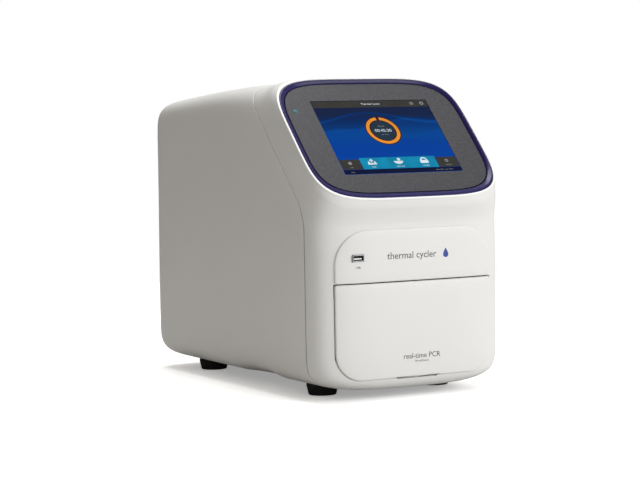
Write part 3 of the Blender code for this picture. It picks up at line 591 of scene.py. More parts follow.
GLASS = glass_look()
BOARD = board_look()
FASCIA = fascia_look()
DISPLAY_LOOK = display_look()


# ---- the body's outer form

def curve(fraction, power):
    """How much of its full extent a rounded edge keeps at a fraction of its height."""
    return max(0.0, 1.0 - fraction ** power) ** (1.0 / power)


def smooth_step(value, low, high):
    t = min(1.0, max(0.0, (value - low) / (high - low)))
    return t * t * (3.0 - 2.0 * t)


def crown(y):
    """The height of the top surface on the centre line."""
    back = max(y, LIP_BACK_Y) - LIP_BACK_Y
    slope = CROWN_SLOPE * back + CROWN_BEND * back * back
    return TOP_Z - LIP_FLARE - slope + LIP_FLARE * math.exp(-back / LIP_FLARE_LENGTH)


def grip_lift(x, y, z):
    """The shallow scallop along the lower edge of each side."""
    middle = (GRIP_Y[0] + GRIP_Y[1]) / 2
    reach = (GRIP_Y[1] - GRIP_Y[0]) / 2
    along = max(0.0, 1.0 - ((y - middle) / reach) ** 2)
    across = smooth_step(abs(x), *GRIP_X)
    fade = max(0.0, 1.0 - (z - BOTTOM_Z) / GRIP_FADE)
    return GRIP_LIFT * along * across * fade


def front_y(z, inset):
    """The front surface: upright face, concave sweep up to the chin, rounded lower edge."""
    sweep = smooth_step(z, CHIN_LOW_Z, CHIN_HIGH_Z)
    y = FRONT_Y + (CHIN_Y - FRONT_Y) * sweep
    low = BOTTOM_Z + FRONT_EDGE_RADIUS - z
    if low > 0.0:
        radius = FRONT_EDGE_RADIUS
        y += radius - math.sqrt(max(0.0, radius * radius - min(low, radius) ** 2))
    return y + inset


def squircle_steps(steps):
    """Heights along a squircle's quarter, from its side to near its pole, as fractions."""
    end = math.acos(CAP_KEEP ** (SQUIRCLE / 2))
    return [math.sin(end * (k + 1) / steps) ** (2 / SQUIRCLE) for k in range(steps)]


def ring_levels():
    """(part of the body, height fraction) for each ring, from the bottom up."""
    levels = [("bottom", value) for value in reversed(squircle_steps(22))]
    heights = [SIDE_BOTTOM_Z + 14.0 * k for k in range(10)]
    heights += [CHIN_LOW_Z + 3.0 * k for k in range(12)]
    heights += [CHIN_HIGH_Z + 13.0 * k for k in range(1, 6)] + [SIDE_TOP_Z]
    levels += [("side", z) for z in heights]
    return levels + [("top", value) for value in squircle_steps(26)]


def quarter(angle):
    """A point on a unit squircle's first quarter."""
    return (max(0.0, math.sin(angle)) ** (2 / SQUIRCLE),
            max(0.0, math.cos(angle)) ** (2 / SQUIRCLE))


def lip_station(k):
    """The y of the outline's k-th point behind the screen's lip; the steps grow."""
    return LIP_BACK_Y + 2.5 * k + 0.35 * k * k


def outline():
    """Right half of the plan outline, front to rear, as (part, across, along) values."""
    corner = 26
    angles = [0.5 * math.pi * i / corner for i in range(corner + 1)]
    points = [("front", *quarter(angle)) for angle in angles]
    y = FRONT_CORNER_Y + 8.0
    while y < LIP_BACK_Y - 1.0:
        points.append(("lip", 1.0, y))
        y += 8.0
    points += [("lip", 1.0, lip_station(k)) for k in range(LIP_STATIONS)]
    points += [("side", 1.0, i / 20) for i in range(20)]
    return points + [("rear", *quarter(angle)) for angle in reversed(angles)]


def lip_taper(y, z):
    """How much the body draws in as it comes up to the screen's lip."""
    behind = (FRONT_CORNER_Y - y) * math.cos(SCREEN_TILT) + (z - SIDE_TOP_Z) * math.sin(SCREEN_TILT)
    return LIP_TAPER * smooth_step(behind, -LIP_TAPER_DEPTH, 0.0)


def body_point(level, place, inset):
    """One point of the body's surface, set in from it by the given distance."""
    part, value = level
    where, across, along = place
    keep = 1.0
    rear = REAR_Y - inset
    if part == "bottom":
        keep = curve(value, SQUIRCLE)
        z = SIDE_BOTTOM_Z - (SIDE_BOTTOM_Z - BOTTOM_Z - inset) * value
        low = min(1.0, max(0.0, BOTTOM_Z + REAR_BOTTOM_HEIGHT - z) / REAR_BOTTOM_HEIGHT)
        rear -= REAR_BOTTOM_DEPTH * (1.0 - curve(low, REAR_EDGE_POWER))
    elif part == "top":
        z = SIDE_TOP_Z
        rear -= REAR_TOP_DEPTH * (1.0 - curve(value, REAR_EDGE_POWER))
    else:
        z = value
    front = front_y(z, inset)
    lip_end = lip_station(LIP_STATIONS)
    if where == "front":
        y = FRONT_CORNER_Y + (front - FRONT_CORNER_Y) * along
    elif where == "rear":
        y = rear - REAR_CORNER + REAR_CORNER * along
    elif where == "lip":
        y = along
    else:
        y = lip_end + (rear - REAR_CORNER - lip_end) * along
    top = crown(y) - inset
    height = z
    if part == "top":
        rear_part = smooth_step(y, LIP_BACK_Y, REAR_SQUIRCLE_Y)
        keep = curve(value, SQUIRCLE + (REAR_SQUIRCLE - SQUIRCLE) * rear_part)
        height += (top - SIDE_TOP_Z) * value
    taper = smooth_step(y, LIP_BACK_Y, REAR_Y) * smooth_step(height, SIDE_BOTTOM_Z, SIDE_TOP_Z)
    half = HALF_WIDTH + (REAR_HALF_WIDTH - HALF_WIDTH) * taper - inset
    narrow = lip_taper(y, height)
    x = (half - narrow) * keep * across
    if part == "top":
        z += (top - narrow - SIDE_TOP_Z) * value
    return x, y, z + grip_lift(x, y, z)


def body_blank(inset):
    """The closed outer form of the body, or the same form set in by a distance."""
    mesh = bmesh.new()
    half = outline()
    last = len(half) - 1
    rings = []
    for level in ring_levels():
        right = [body_point(level, place, inset) for place in half]
        loop = [mesh.verts.new(p) for p in right]
        loop += [mesh.verts.new((-p[0], p[1], p[2])) for p in reversed(right[1:last])]
        rings.append(loop)
    for lower, upper in zip(rings, rings[1:]):
        bridge(mesh, lower, upper)
    count = len(rings[0])
    for loop in (rings[0], rings[-1]):
        for i in range(last):
            mirrored = (count - i) % count
            beside = (count - i - 1) % count
            around = [loop[i], loop[i + 1], loop[beside], loop[mirrored]]
            mesh.faces.new([v for k, v in enumerate(around) if v not in around[:k]])
    return faced_out(mesh)


def ahead_of_seam(shift):
    """A tool that holds all that is in front of the seam, once moved back by a distance."""
    tangent = SEAM_BEND_RADIUS * math.tan(SCREEN_TILT / 2)
    y = SEAM_Y + shift
    centre = (y + SEAM_BEND_RADIUS, SEAM_BEND_Z - tangent)
    points = [(AHEAD_Y, 0.0), (y, 0.0)]
    for k in range(25):
        angle = math.pi - SCREEN_TILT * k / 24
        points.append((centre[0] + SEAM_BEND_RADIUS * math.cos(angle),
                       centre[1] + SEAM_BEND_RADIUS * math.sin(angle)))
    bend_y, bend_z = points[-1]
    points.append((bend_y + (ABOVE_Z - bend_z) * math.tan(SCREEN_TILT), ABOVE_Z))
    points.append((AHEAD_Y, ABOVE_Z))
    return prism(points, "X", *PAST)


# ---- shells with rolled edges

def rolled(radius, depth, steps=4):
    """An edge that rounds over by a radius and then runs straight in."""
    def column(point, out, normal):
        places = []
        for k in range(1, steps + 1):
            angle = 0.5 * math.pi * k / steps
            places.append(point + out * radius * math.sin(angle)
                          - normal * radius * (1.0 - math.cos(angle)))
        places.append(point + out * radius - normal * depth)
        return places
    return column


def squircle_reach(half, centre, way):
    """How far an off-centre squircle reaches from the screen's centre along a direction."""
    low, high = 0.0, 200.0
    for _ in range(40):
        reach = (low + high) / 2
        x = abs(way[0] * reach - centre[0]) / half[0]
        y = abs(way[1] * reach - centre[1]) / half[1]
        if x ** SQUIRCLE + y ** SQUIRCLE < 1.0:
            low = reach
        else:
            high = reach
    return low


def screen_lip(point):
    """From the shell's surface behind the screen plane, over the lip and down inside it."""
    to_screen = screen_matrix(1.0)
    local = to_screen.inverted() @ point
    near = math.hypot(local.x, local.y)
    way = (local.x / near, local.y / near)
    far = squircle_reach(LIP_HALF, LIP_CENTRE, way)
    inner = squircle_reach([half + RIM_GAP for half in RIM_HALF], RIM_CENTRE, way)
    places = []
    for k in range(1, 12):
        depth = LIP_RADIUS + (LIP_BAND - LIP_RADIUS) * (1.0 - k / 11)
        places.append((near + (far - near) * (1.0 - depth / LIP_BAND) ** LIP_POWER, -depth))
    edge_reach = places[-1][0]
    for k in range(1, 6):
        angle = 0.5 * math.pi * k / 5
        places.append((edge_reach - LIP_RADIUS * (1.0 - math.cos(angle)),
                       -LIP_RADIUS * (1.0 - math.sin(angle))))
    places += [(inner + 0.4, -0.06), (inner + 0.1, -0.25), (inner, -0.6), (inner, -7.6)]
    return [to_screen @ Vector((way[0] * reach, way[1] * reach, w)) for reach, w in places]


def closed_shell(solid, wall, edge, on_lip=False):
    """Drop the faces that cutters made, roll the open edges and line the inside."""
    drop = [face for face in solid.faces if face.material_index == 1]
    bmesh.ops.delete(solid, geom=drop, context="FACES")
    weld(solid, 0.02)
    solid.normal_update()
    skin = solid.faces[:]
    inner = {v: v.co - v.normal * wall for v in solid.verts}
    border = [e for e in solid.edges if e.is_boundary]
    outward = {}
    for e in border:
        face = e.link_faces[0]
        away = (e.verts[1].co - e.verts[0].co).cross(face.normal).normalized()
        middle = (e.verts[0].co + e.verts[1].co) / 2
        if away.dot(middle - face.calc_center_median()) < 0.0:
            away = -away
        for v in e.verts:
            outward[v] = outward.get(v, Vector()) + away
    to_screen = screen_matrix(1.0).inverted()
    columns = {}
    for v, away in outward.items():
        away = (away - v.normal * away.dot(v.normal)).normalized()
        at_lip = on_lip and abs((to_screen @ v.co).z + LIP_BAND) < 0.05
        places = screen_lip(v.co) if at_lip else edge(v.co, away, v.normal)
        columns[v] = (places, at_lip)
    lining = {v: solid.verts.new(place) for v, place in inner.items()}
    made = {v: [v, *[solid.verts.new(p) for p in places], lining[v]]
            for v, (places, at_lip) in columns.items()}
    for e in border:
        a, b = e.verts
        if columns[a][1] != columns[b][1]:
            continue
        sew(solid, made[a], made[b])
    for face in skin:
        solid.faces.new([lining[v] for v in reversed(face.verts)])
    return faced_out(solid)


def upper_pad(inset, foot, radius):
    """The outline above the slit, set in by a distance, with the foot's height and corners."""
    return rounded(-PAD_HALF + inset, PAD_HALF - inset, foot, PAD_Z[1] - inset,
                   radius, PAD_RADII[1] - inset)


def lower_pad(inset, head, radius):
    """The outline below the slit, set in by a distance, with the head's height and corners."""
    return rounded(-PAD_HALF + inset, PAD_HALF - inset, PAD_Z[0] + inset, head,
                   PAD_RADII[0] - inset, radius)


def make_shells():
    slab = box(*PAST, *PAST, -LIP_BAND, PAST[1])
    slab.transform(screen_matrix(1.0))
    upper = upper_pad(PAD_OVERLAP, SLIT_Z - 4.0, 1.0)
    lower = lower_pad(-PAD_GAP - EDGE, SLIT_Z + SLIT / 2, 0.4)
    grip = GRIP_HALF + EDGE
    front = carve(body_blank(0.0), [
        slab, prism(upper, "Y", *FRONT_CUT), prism(lower, "Y", *FRONT_CUT),
        box(-grip, grip, *FRONT_CUT, 25.2 - EDGE, 40.0),
    ], keep=ahead_of_seam(-EDGE))
    edge = rolled(EDGE, SKIN_DEPTH)
    piece("front_shell_skin", closed_shell(front, FRONT_WALL, edge, on_lip=True), WHITE,
          replaces=("front_shell",))
    panel = rounded(-PANEL_HALF - 1.0, PANEL_HALF + 1.0, PANEL_Z[0] - 1.0, PANEL_Z[1] + 1.0,
                    10.6, 10.6, 8)
    floor = rounded(-88.0, 88.0, -185.0, 200.0, 6.0, 6.0, 6)
    cover = carve(body_blank(0.0), [
        ahead_of_seam(SEAM_GAP + EDGE), prism(panel, "Y", 215.0, 270.0),
        prism(floor, "Z", 0.0, 40.0),
    ])
    piece("main_cover_skin", closed_shell(cover, COVER_WALL, edge), WHITE,
          replaces=("main_cover",))


def make_seam_shade_strip():
    """A black strip set into the seam between the front shell and the main cover: painted shade
    that makes the gap read as a dark line.
    """
    surface, inside = (body_blank(inset) for inset in SEAM_SHADE_INSET)
    strip = carve(surface, [ahead_of_seam(0.02), inside], keep=ahead_of_seam(SEAM_GAP - 0.02))
    # painted shade: the strip is black so that the seam gap reads dark, as a shadowed gap would
    piece("seam_shade_strip", strip, RUBBER)


def pad_skin(points, notch):
    """A piece of the pad: it follows the body's front, stands proud of it and has soft edges."""
    back = -205.0
    raised = carve(body_blank(-PAD_RISE), [notch], keep=prism(points, "Y", PAD_CUT[0], back))
    for face in raised.faces:
        if face.calc_center_median().y > back - 1.0:
            face.material_index = 1
    soft = rolled(PAD_EDGE, PAD_SKIN_DEPTH, 5)
    crisp = rolled(PORT_EDGE, PAD_SKIN_DEPTH, 5)

    def edge(point, out, normal):
        near_port = abs(point.x - USB_FRONT[0]) < 12.0 and abs(point.z - USB_FRONT[1]) < 8.0
        return (crisp if near_port else soft)(point, out, normal)

    return closed_shell(raised, PAD_WALL, edge)


def make_pad():
    edge = PAD_EDGE
    upper = upper_pad(edge, SLIT_Z + SLIT / 2 + edge, 1.2)
    lower = lower_pad(edge, SLIT_Z - SLIT / 2 - edge, 1.2)
    x, z = USB_FRONT
    port = box(x - 8.3, x + 8.3, *PAD_CUT, z - 4.4, z + 4.4)
    piece("front_bezel_skin", pad_skin(upper, port), WHITE,
          replaces=("front_bezel",))
    reach = GRIP_HALF + edge
    notch = box(-reach, reach, *PAD_CUT, 0.0, 26.5 + edge)
    piece("drawer_front_skin", pad_skin(lower, notch), WHITE, body="drawer",
          replaces=("drawer_front",))
    bracket = box(-80.0, 80.0, -239.0, -226.3, 52.0, 108.0)
    piece("drawer_front_bracket", bracket, BLACK, body="drawer", bevel=1.2)


# ---- the screen

def make_rim():
    """The navy ring: a rounded bead outside, sloping down to a narrow groove round the film."""
    shape = ((0.0, -7.0), (0.0, -1.3), (0.03, -0.75), (0.09, -0.4), (0.18, -0.2), (0.28, -0.25),
             (0.4, -0.6), (0.55, -1.2), (0.7, -1.9), (0.84, -2.6), (0.94, -3.3), (1.0, -4.2),
             (1.0, -7.0))
    rings = []
    for step, w in shape:
        half = [r + (f + FILM_GAP - r) * step for r, f in zip(RIM_HALF, FASCIA_HALF)]
        centre = [r + (f - r) * step for r, f in zip(RIM_CENTRE, FASCIA_CENTRE)]
        rings.append([(*p, w) for p in squircle(half, centre)])
    piece("screen_rim_ring", stack(rings), NAVY, replaces=("screen_rim",),
          on_screen=True, sharp=60.0)


def make_fascia():
    x0, x1, t0, t1 = DISPLAY
    plate = prism(squircle(FASCIA_HALF, FASCIA_CENTRE), "Z", -6.4, -3.1)
    through = (-20.0, 10.0)
    hole = prism(rounded(x0 - 0.3, x1 + 0.3, t0 - 0.3, t1 + 0.3, 1.5, 1.5, 5), "Z", *through)
    dot = prism(circle(STATUS_AT, 3.4, 32), "Z", *through)
    piece("screen_fascia_plate", carve(plate, [hole, dot]), FASCIA,
          replaces=("screen_fascia",), on_screen=True, bevel=0.5)
    lens = turned(((3.2, -6.0), (3.2, -3.2), (2.8, -2.95), (0.01, -2.8)), "Z",
                  (*STATUS_AT, 0.0), 32)
    piece("status_light", lens, TEAL, replaces=("status_lens",),
          on_screen=True)
    panel = prism(rounded(x0, x1, t0, t1, 1.3, 1.3, 5), "Z", -7.5, -3.6)
    piece("display_glass_panel", panel, DISPLAY_LOOK, replaces=("display_panel",),
          on_screen=True, bevel=0.1)


def picture_face(level):
    """How far out a layer of the picture comes."""
    return PICTURE_FACE + PICTURE_LAYER * level


def patch(points, level):
    """A thin patch of the picture, standing a hair above the glass."""
    return prism(points, "Z", PICTURE_FOOT, picture_face(level))


def tile(x0, x1, t0, t1, level=1, radius=0.4):
    return patch(rounded(x0, x1, t0, t1, radius, radius, 4), level)


def ring_band(centre, outer, inner, level=3, start=0.0, sweep=360.0, sides=72):
    """A flat arc of the picture, clockwise from the top."""
    face = picture_face(level)
    whole = sweep == 360.0
    count = int(sides * sweep / 360.0)
    rings = []
    for k in range(count + (not whole)):
        angle = math.radians(90.0 - start - sweep * k / count)
        c, s = math.cos(angle), math.sin(angle)
        rings.append([(centre[0] + c * r, centre[1] + s * r, w) for r, w in (
            (inner, PICTURE_FOOT), (inner, face), (outer, face), (outer, PICTURE_FOOT))])
    return stack(rings, closed=whole)


def make_picture():
    """A plain generic run screen: title, progress ring, three actions and two side tiles."""
    x0, x1, t0, t1 = DISPLAY
    left, right = x0 - PICTURE_X + 0.4, x1 - PICTURE_X - 0.4
    low, high = t0 + 0.4, t1 - 0.4
    grey = lit("screen_title", linear(60, 58, 55))
    navy = lit("screen_footer", linear(6, 16, 52))
    teal = lit("screen_actions", linear(14, 138, 178), 0.14)
    white = lit("screen_white", linear(225, 238, 242))
    pale = lit("screen_pale", linear(140, 144, 146))
    orange = lit("screen_orange", linear(242, 150, 52))
    brown = lit("screen_ring_shadow", linear(48, 30, 34))
    slate = lit("screen_dial", linear(36, 52, 70))
    middle = (0.7, 11.2)
    dish = [(6.6 * math.cos(a), -41.6 + 5.0 * math.sin(a))
            for a in (math.radians(180.0 + 10.0 * k) for k in range(19))]
    shapes = (
        ("title_bar", grey, tile(left, right, 52.4, high)),
        ("footer", navy, tile(left, right, low, -54.2)),
        ("tiles", grey, tile(left, -54.2, -53.8, -37.0), tile(55.0, right, -53.8, -37.0)),
        ("actions", teal, tile(-53.6, 54.4, -53.8, -34.8)),
        ("ring_shadow", brown, ring_band(middle, 24.6, 16.6, 1)),
        ("dial", slate, patch(circle(middle, 16.8, 64), 1)),
        ("ring", orange, ring_band(middle, 23.0, 18.4, 2, 6.0, 348.0)),
        ("title_icons", pale, ring_band((62.0, 58.2), 2.6, 1.8), ring_band((62.0, 58.2), 1.0, 0.3),
         ring_band((77.0, 58.2), 2.9, 1.3)),
        ("action_icons", white,
         tile(-44.2, -31.8, -46.4, -43.6, 3, 0.9), tile(-43.4, -41.2, -44.0, -41.0, 3, 0.5),
         tile(-34.8, -32.6, -44.0, -41.0, 3, 0.5), tile(-39.0, -37.0, -42.4, -38.6, 3, 0.4),
         patch(((-41.2, -40.0), (-34.8, -40.0), (-38.0, -36.6)), 3), patch(dish, 3),
         ring_band((1.6, -38.8), 2.2, 0.2), tile(31.2, 42.8, -46.4, -41.6, 3, 1.0),
         ring_band((37.0, -41.4), 4.9, 3.0, 3, -90.0, 180.0, 36)),
        ("tile_icons", pale, ring_band((-69.0, -43.2), 2.5, 0.2),
         ring_band((69.5, -43.2), 2.5, 1.1)),
    )
    for name, look, *meshes in shapes:
        piece(f"picture_{name}", moved(join(*meshes), (PICTURE_X, 0.0, 0.0)), look,
              on_screen=True, sharp=20.0)
    words = (
        ("title", "Thermal Cycler", 4.4, 1.5, 58.2, white),
        ("step", "Step 2", 3.6, 0.7, 18.6, pale),
        ("time", "00:45:30", 7.0, 0.7, 11.0, white),
        ("stage", "run time", 3.2, 0.7, 4.4, pale),
        ("caption_1", "load", 3.4, -38.0, -50.4, white),
        ("caption_2", "new run", 3.4, 0.0, -50.4, white),
        ("caption_3", "results", 3.4, 37.0, -50.4, white),
        ("left_caption", "user", 2.8, -69.0, -50.2, pale),
        ("right_caption", "settings", 2.8, 69.5, -50.2, pale),
        ("footer_left", "ready", 2.6, -71.0, -58.2, pale),
        ("footer_right", "block 25.0  cover 105.0", 2.6, 60.0, -58.2, pale),
    )
    for name, text, size, x, t, look in words:
        name = f"picture_{name}"
        mesh = lettering(name, text, size, (x + PICTURE_X, t, picture_face(3)), 0.02, True)
        piece(name, mesh, look, on_screen=True)


# ---- small front pieces

def on_pad(mesh):
    """Lay flat print on the curve of the pad, a hair above it."""
    reach = FRONT_CORNER_Y - FRONT_Y + PAD_RISE
    for vert in mesh.verts:
        aside = abs(vert.co.x) / (HALF_WIDTH + PAD_RISE)
        vert.co.y += FRONT_CORNER_Y - reach * curve(aside, SQUIRCLE) - PRINT_PROUD
    return mesh


def port_sleeve(half_x, half_z, wall, y0, y1):
    """A square sleeve for the front port, closed at the back."""
    x, z = USB_FRONT
    hole_x, hole_z = half_x - wall, half_z - wall
    return carve(box(x - half_x, x + half_x, y0, y1, z - half_z, z + half_z),
                 [box(x - hole_x, x + hole_x, -250.0, y1 - 1.0, z - hole_z, z + hole_z)])


def make_front_details():
    x, z = USB_FRONT
    piece("usb_front_shell", port_sleeve(7.7, 3.8, 0.7, -243.3, -229.0), NICKEL,
          replaces=("usb_port_front",), bevel=0.2)
    piece("usb_front_liner", port_sleeve(6.98, 3.08, 0.38, -242.6, -229.6), BLACK,
          bevel=0.1)
    tongue = box(x - 5.4, x + 5.0, -241.6, -230.4, z - 1.6, z + 0.3)
    piece("usb_front_tongue", tongue, CERAMIC, bevel=0.15)
    for name, text, size, at_x, at_z, body in (
        ("usb_word", "USB", 3.8, x, z - 11.5, "chassis"),
        ("front_words", "thermal cycler", 12.0, -6.0, 176.0, "chassis"),
        ("drawer_words", "real-time PCR", 9.2, 6.0, 52.0, "drawer"),
        ("drawer_small_words", "96-well block", 3.6, 6.0, 45.6, "drawer"),
    ):
        mesh = on_pad(lettering(name, text, size, (at_x, 0.0, at_z), PRINT_THICK))
        piece(name, mesh, INK, body=body)
    drop = []
    for k in range(48):
        angle = 2 * math.pi * k / 48
        width = 5.2 * math.sin(angle) * math.sin(angle / 2) ** 1.4
        drop.append((42.5 + width, 177.0 + 6.0 * math.cos(angle)))
    mark = on_pad(prism(drop, "Y", -PRINT_THICK, PRINT_THICK))
    piece("front_drop_mark", mark, INK_BLUE)


def make_feet():
    profile = [(0.01, 0.0), (14.5, 0.0), (15.0, 0.6), (16.2, 0.6), (16.8, 0.25)]
    profile += [(17.1 + 0.5 * math.sin(a), 1.2 - 0.5 * math.cos(a))
                for a in (math.radians(20.0 * k) for k in range(5))]
    profile += [(19.6, 10.0), (20.0, 11.0), (20.1, 12.2), (19.9, 14.9), (0.01, 14.9)]
    for number, (x, y) in enumerate(FOOT_AT, start=1):
        piece(f"foot_{number}_pad", turned(profile, "Z", (x, y, 0.0), 64), RUBBER,
              replaces=(f"foot_{number}",), sharp=50.0)


# ---- block, screws, fan and rear

def well_places():
    """The middle of each well, row by row."""
    return [((column - 5.5) * WELL_PITCH, BLOCK_Y + (row - 3.5) * WELL_PITCH)
            for row in range(8) for column in range(12)]


def well_cell(x, y, top):
    """One nine-millimetre cell of the block's top with its tapered well."""
    sides = 24
    profile = ((3.45, 0.0), (3.15, -0.35), (2.75, -4.5), (1.75, -12.6), (1.2, -13.9),
               (0.5, -WELL_DEPTH))
    half = WELL_PITCH / 2
    mesh = bmesh.new()
    rings = [[]]
    for c, s in circle((0.0, 0.0), 1.0, sides):
        reach = half / max(abs(c), abs(s))
        rings[0].append(mesh.verts.new((x + reach * c, y + reach * s, top)))
    for radius, drop in profile:
        rings.append([mesh.verts.new((x + px, y + py, top + drop))
                      for px, py in circle((0.0, 0.0), radius, sides)])
    for outer, inner in zip(rings, rings[1:]):
        bridge(mesh, outer, inner)
    mesh.faces.new(rings[-1])
    return mesh


def make_block():
    """The sample block: a grid of wells with a plain margin, chamfered all round."""
    z0, z1 = BLOCK_Z
    mesh = join(*[well_cell(x, y, z1) for x, y in well_places()])
    weld(mesh, 0.01)
    border = [e for e in mesh.edges if e.is_boundary]
    half_x, half_y = BLOCK_HALF
    grid_x, grid_y = 6 * WELL_PITCH, 4 * WELL_PITCH
    levels = ((0.6, z1), (0.0, z1 - 0.6), (0.0, z0 + 0.5), (0.5, z0))
    columns = {}
    for v in dict.fromkeys(v for e in border for v in e.verts):
        columns[v] = [v] + [
            mesh.verts.new((v.co.x * (half_x - inset) / grid_x,
                            BLOCK_Y + (v.co.y - BLOCK_Y) * (half_y - inset) / grid_y, z))
            for inset, z in levels]
    for e in border:
        sew(mesh, *(columns[v] for v in e.verts))
    bmesh.ops.edgeloop_fill(mesh, edges=[e for e in mesh.edges if e.is_boundary])
    piece("sample_block_wells", faced_out(mesh), BLOCK_METAL, body="drawer",
          replaces=("sample_block",))


def make_cover_plate():
    """The heated plate, pierced over each well so that the optics see the tubes."""
    low, high = 138.0, 144.0
    plate = box(-59.9, 59.9, BLOCK_Y - 40.9, BLOCK_Y + 40.9, low, high)
    holes = join(*[prism(circle(at, 2.4, 20), "Z", low - 2, high + 2) for at in well_places()])
    piece("heated_plate_pierced", carve(plate, [holes]), ALUMINIUM, body="heated_cover",
          replaces=("heated_cover_plate",), bevel=0.3)


def threaded(axis, centre, low, high, pitch, step):
    """A lead screw with a rounded helical thread and plain turned-down ends."""
    sides = 20
    rings = []
    count = int((high - low) / step)
    for k in range(count + 1):
        t = low + (high - low) * k / count
        plain = min(t - low, high - t) < 6.0
        ring = []
        for i in range(sides):
            turn = i / sides
            wave = abs(((t / pitch - turn) % 1.0) * 2.0 - 1.0)
            radius = 3.5 if plain else 3.35 + 0.62 * smooth_step(wave, 0.25, 0.75)
            ring.append(on_axis(axis, centre[0] + radius * math.cos(2 * math.pi * turn),
                                centre[1] + radius * math.sin(2 * math.pi * turn), t))
        rings.append(ring)
    return stack(rings, closed=False)


def make_screws():
    for name, thread in (
        ("drive_screw", threaded("Y", (0.0, 40.0), -213.0, 44.6, 4.0, 0.8)),
        ("lift_screw", threaded("Z", (0.0, -70.0), 130.0, 193.3, 2.0, 0.4)),
    ):
        piece(f"{name}_thread", thread, SHAFT, body=name, replaces=(name,),
              sharp=60.0)


def fan_blade(turn):
    """One swept, twisted blade, thicker along its middle."""
    mesh = bmesh.new()
    across, along = 9, 8
    root, tip = 16.0, 41.0
    sheets = []
    for side in (-1.0, 1.0):
        rows = []
        for i in range(across):
            r = root + (tip - root) * i / (across - 1)
            pitch = math.radians(50.0 - 20.0 * i / (across - 1))
            chord = 13.0 + 5.5 * i / (across - 1)
            sweep = 0.012 * (r - root)
            row = []
            for j in range(along):
                s = j / (along - 1) - 0.5
                arch = 1.0 - (2 * s) ** 2
                lift = 1.6 * arch + side * (0.25 + 0.65 * arch)
                along_y = chord * s * math.sin(pitch) + lift * math.cos(pitch)
                swing = chord * s * math.cos(pitch) - lift * math.sin(pitch)
                angle = turn + swing / r - sweep
                row.append(mesh.verts.new((r * math.cos(angle), along_y, r * math.sin(angle))))
            rows.append(row)
        for i in range(across - 1):
            for j in range(along - 1):
                mesh.faces.new((rows[i][j], rows[i][j + 1], rows[i + 1][j + 1], rows[i + 1][j]))
        rim = [row[0] for row in rows] + rows[-1][1:] + [row[-1] for row in rows[-2::-1]]
        sheets.append(rim + rows[0][-2:0:-1])
    bridge(mesh, *sheets)
    return faced_out(mesh)


def make_fan():
    place = (0.0, 224.0, FAN_Z)
    hub = turned(((0.01, -8.6), (14.5, -8.6), (16.4, -7.9), (17.0, -6.5), (17.0, 9.2),
                  (0.01, 9.2)), "Y", place, 48)
    blades = [moved(fan_blade(2 * math.pi * k / 7), place) for k in range(7)]
    piece("fan_rotor_blades", join(hub, *blades), BLACK, body="fan_rotor",
          replaces=("fan_rotor",), sharp=45.0)


def screw_head(x, z, radius):
    """A pan head with a cross recess, facing the rear."""
    dome = turned(((radius, 0.0), (radius, 0.7), (radius * 0.86, 1.3), (radius * 0.5, 1.7),
                   (0.01, 1.8)), "Y", (x, REAR_PANEL_Y, z), 32)
    return carve(dome, [box(x - wide, x + wide, REAR_PANEL_Y + 1.0, REAR_PANEL_Y + 3.0,
                            z - high, z + high) for wide, high in ((0.4, 1.7), (1.7, 0.4))])


def make_rear_details():
    spots = [(x, z, 3.0) for x in (-96.0, 96.0) for z in (48.0, 178.0, 310.0)]
    spots += [(x, FAN_Z + z, 2.4) for x in (-41.0, 41.0) for z in (-41.0, 41.0)]
    spots += [(-96.0, 66.0, 2.0), (-49.5, 66.0, 2.0)]
    piece("rear_screws", join(*[screw_head(*spot) for spot in spots]), NICKEL,
          sharp=30.0)
    wires = []
    section = circle((0.0, 0.0), 0.8, 8)
    for radius in (12.0, 20.0, 28.0, 36.0, 42.0):
        wires.append(stack([[((radius + a) * c, 245.0 + b, FAN_Z + (radius + a) * s)
                             for a, b in section] for c, s in circle((0.0, 0.0), 1.0, 64)]))
    for turn in (45.0, 135.0, 225.0, 315.0):
        bar = turned(((0.9, 11.0), (0.9, 52.0)), "X", sides=10)
        wires.append(moved(bar, (0.0, 244.0, FAN_Z), math.radians(turn), "Y"))
    piece("fan_finger_guard", join(*wires), NICKEL, sharp=50.0)
    plate = prism(rounded(-20.0, 92.0, 92.0, 132.0, 2.0, 2.0, 5), "Y", 242.9, 243.4)
    piece("rating_plate_blank", plate, CERAMIC, bevel=0.1)


# ---- CAD nodes that stay

KEPT = (
    (STEEL, "base_plate side_frame_left side_frame_right drawer_tray drawer_rail_left "
            "drawer_rail_right display_chassis power_supply rear_panel"),
    (ALUMINIUM, "optics_deck optics_shelf heat_sink led_module"),
    (SHAFT, "guide_post_left guide_post_right"),
    (BLACK, "screw_bearing drawer_motor cover_frame lift_motor optics_housing mirror_mount "
            "excitation_wheel emission_wheel excitation_motor emission_motor camera_lens "
            "fan_frame power_inlet switch_housing power_rocker block_frame"),
    (DARK_GREY, "drawer_deck camera_body"),
    (BRONZE, "drive_nut"),
    (BOARD, "main_board block_driver_board"),
    (NICKEL, "usb_port_rear ethernet_port"),
    (GLASS, "field_lens beam_splitter"),
    (MIRROR, "fold_mirror"),
    (CERAMIC, "peltier_module"),
)


def dress_kept_nodes():
    for look, names in KEPT:
        for name in names.split():
            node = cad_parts[name]
            node.data.materials.clear()
            node.data.materials.append(look)
            soften(node, 0.35)


# ---- light, floor and camera

FLOOR_GLOW = 0.31
FLOOR_SEEN = (1.25, 1.25, 1.25, 1.0)
FLOOR_RADIUS = 1.6
FLOOR_BOUNCE = (0.60, 0.59, 0.57, 1.0)
SKY_BRIGHT_SIDE = (0.57, -0.755, 0.32)
SKY_POWER = 0.94
SKY_TONES = (
    (0.0, (0.0, 0.0, 0.0)),
    (0.15, (0.086, 0.067, 0.046)),
    (0.5, (0.43, 0.413, 0.388)),
    (1.0, (0.78, 0.78, 0.78)),
)
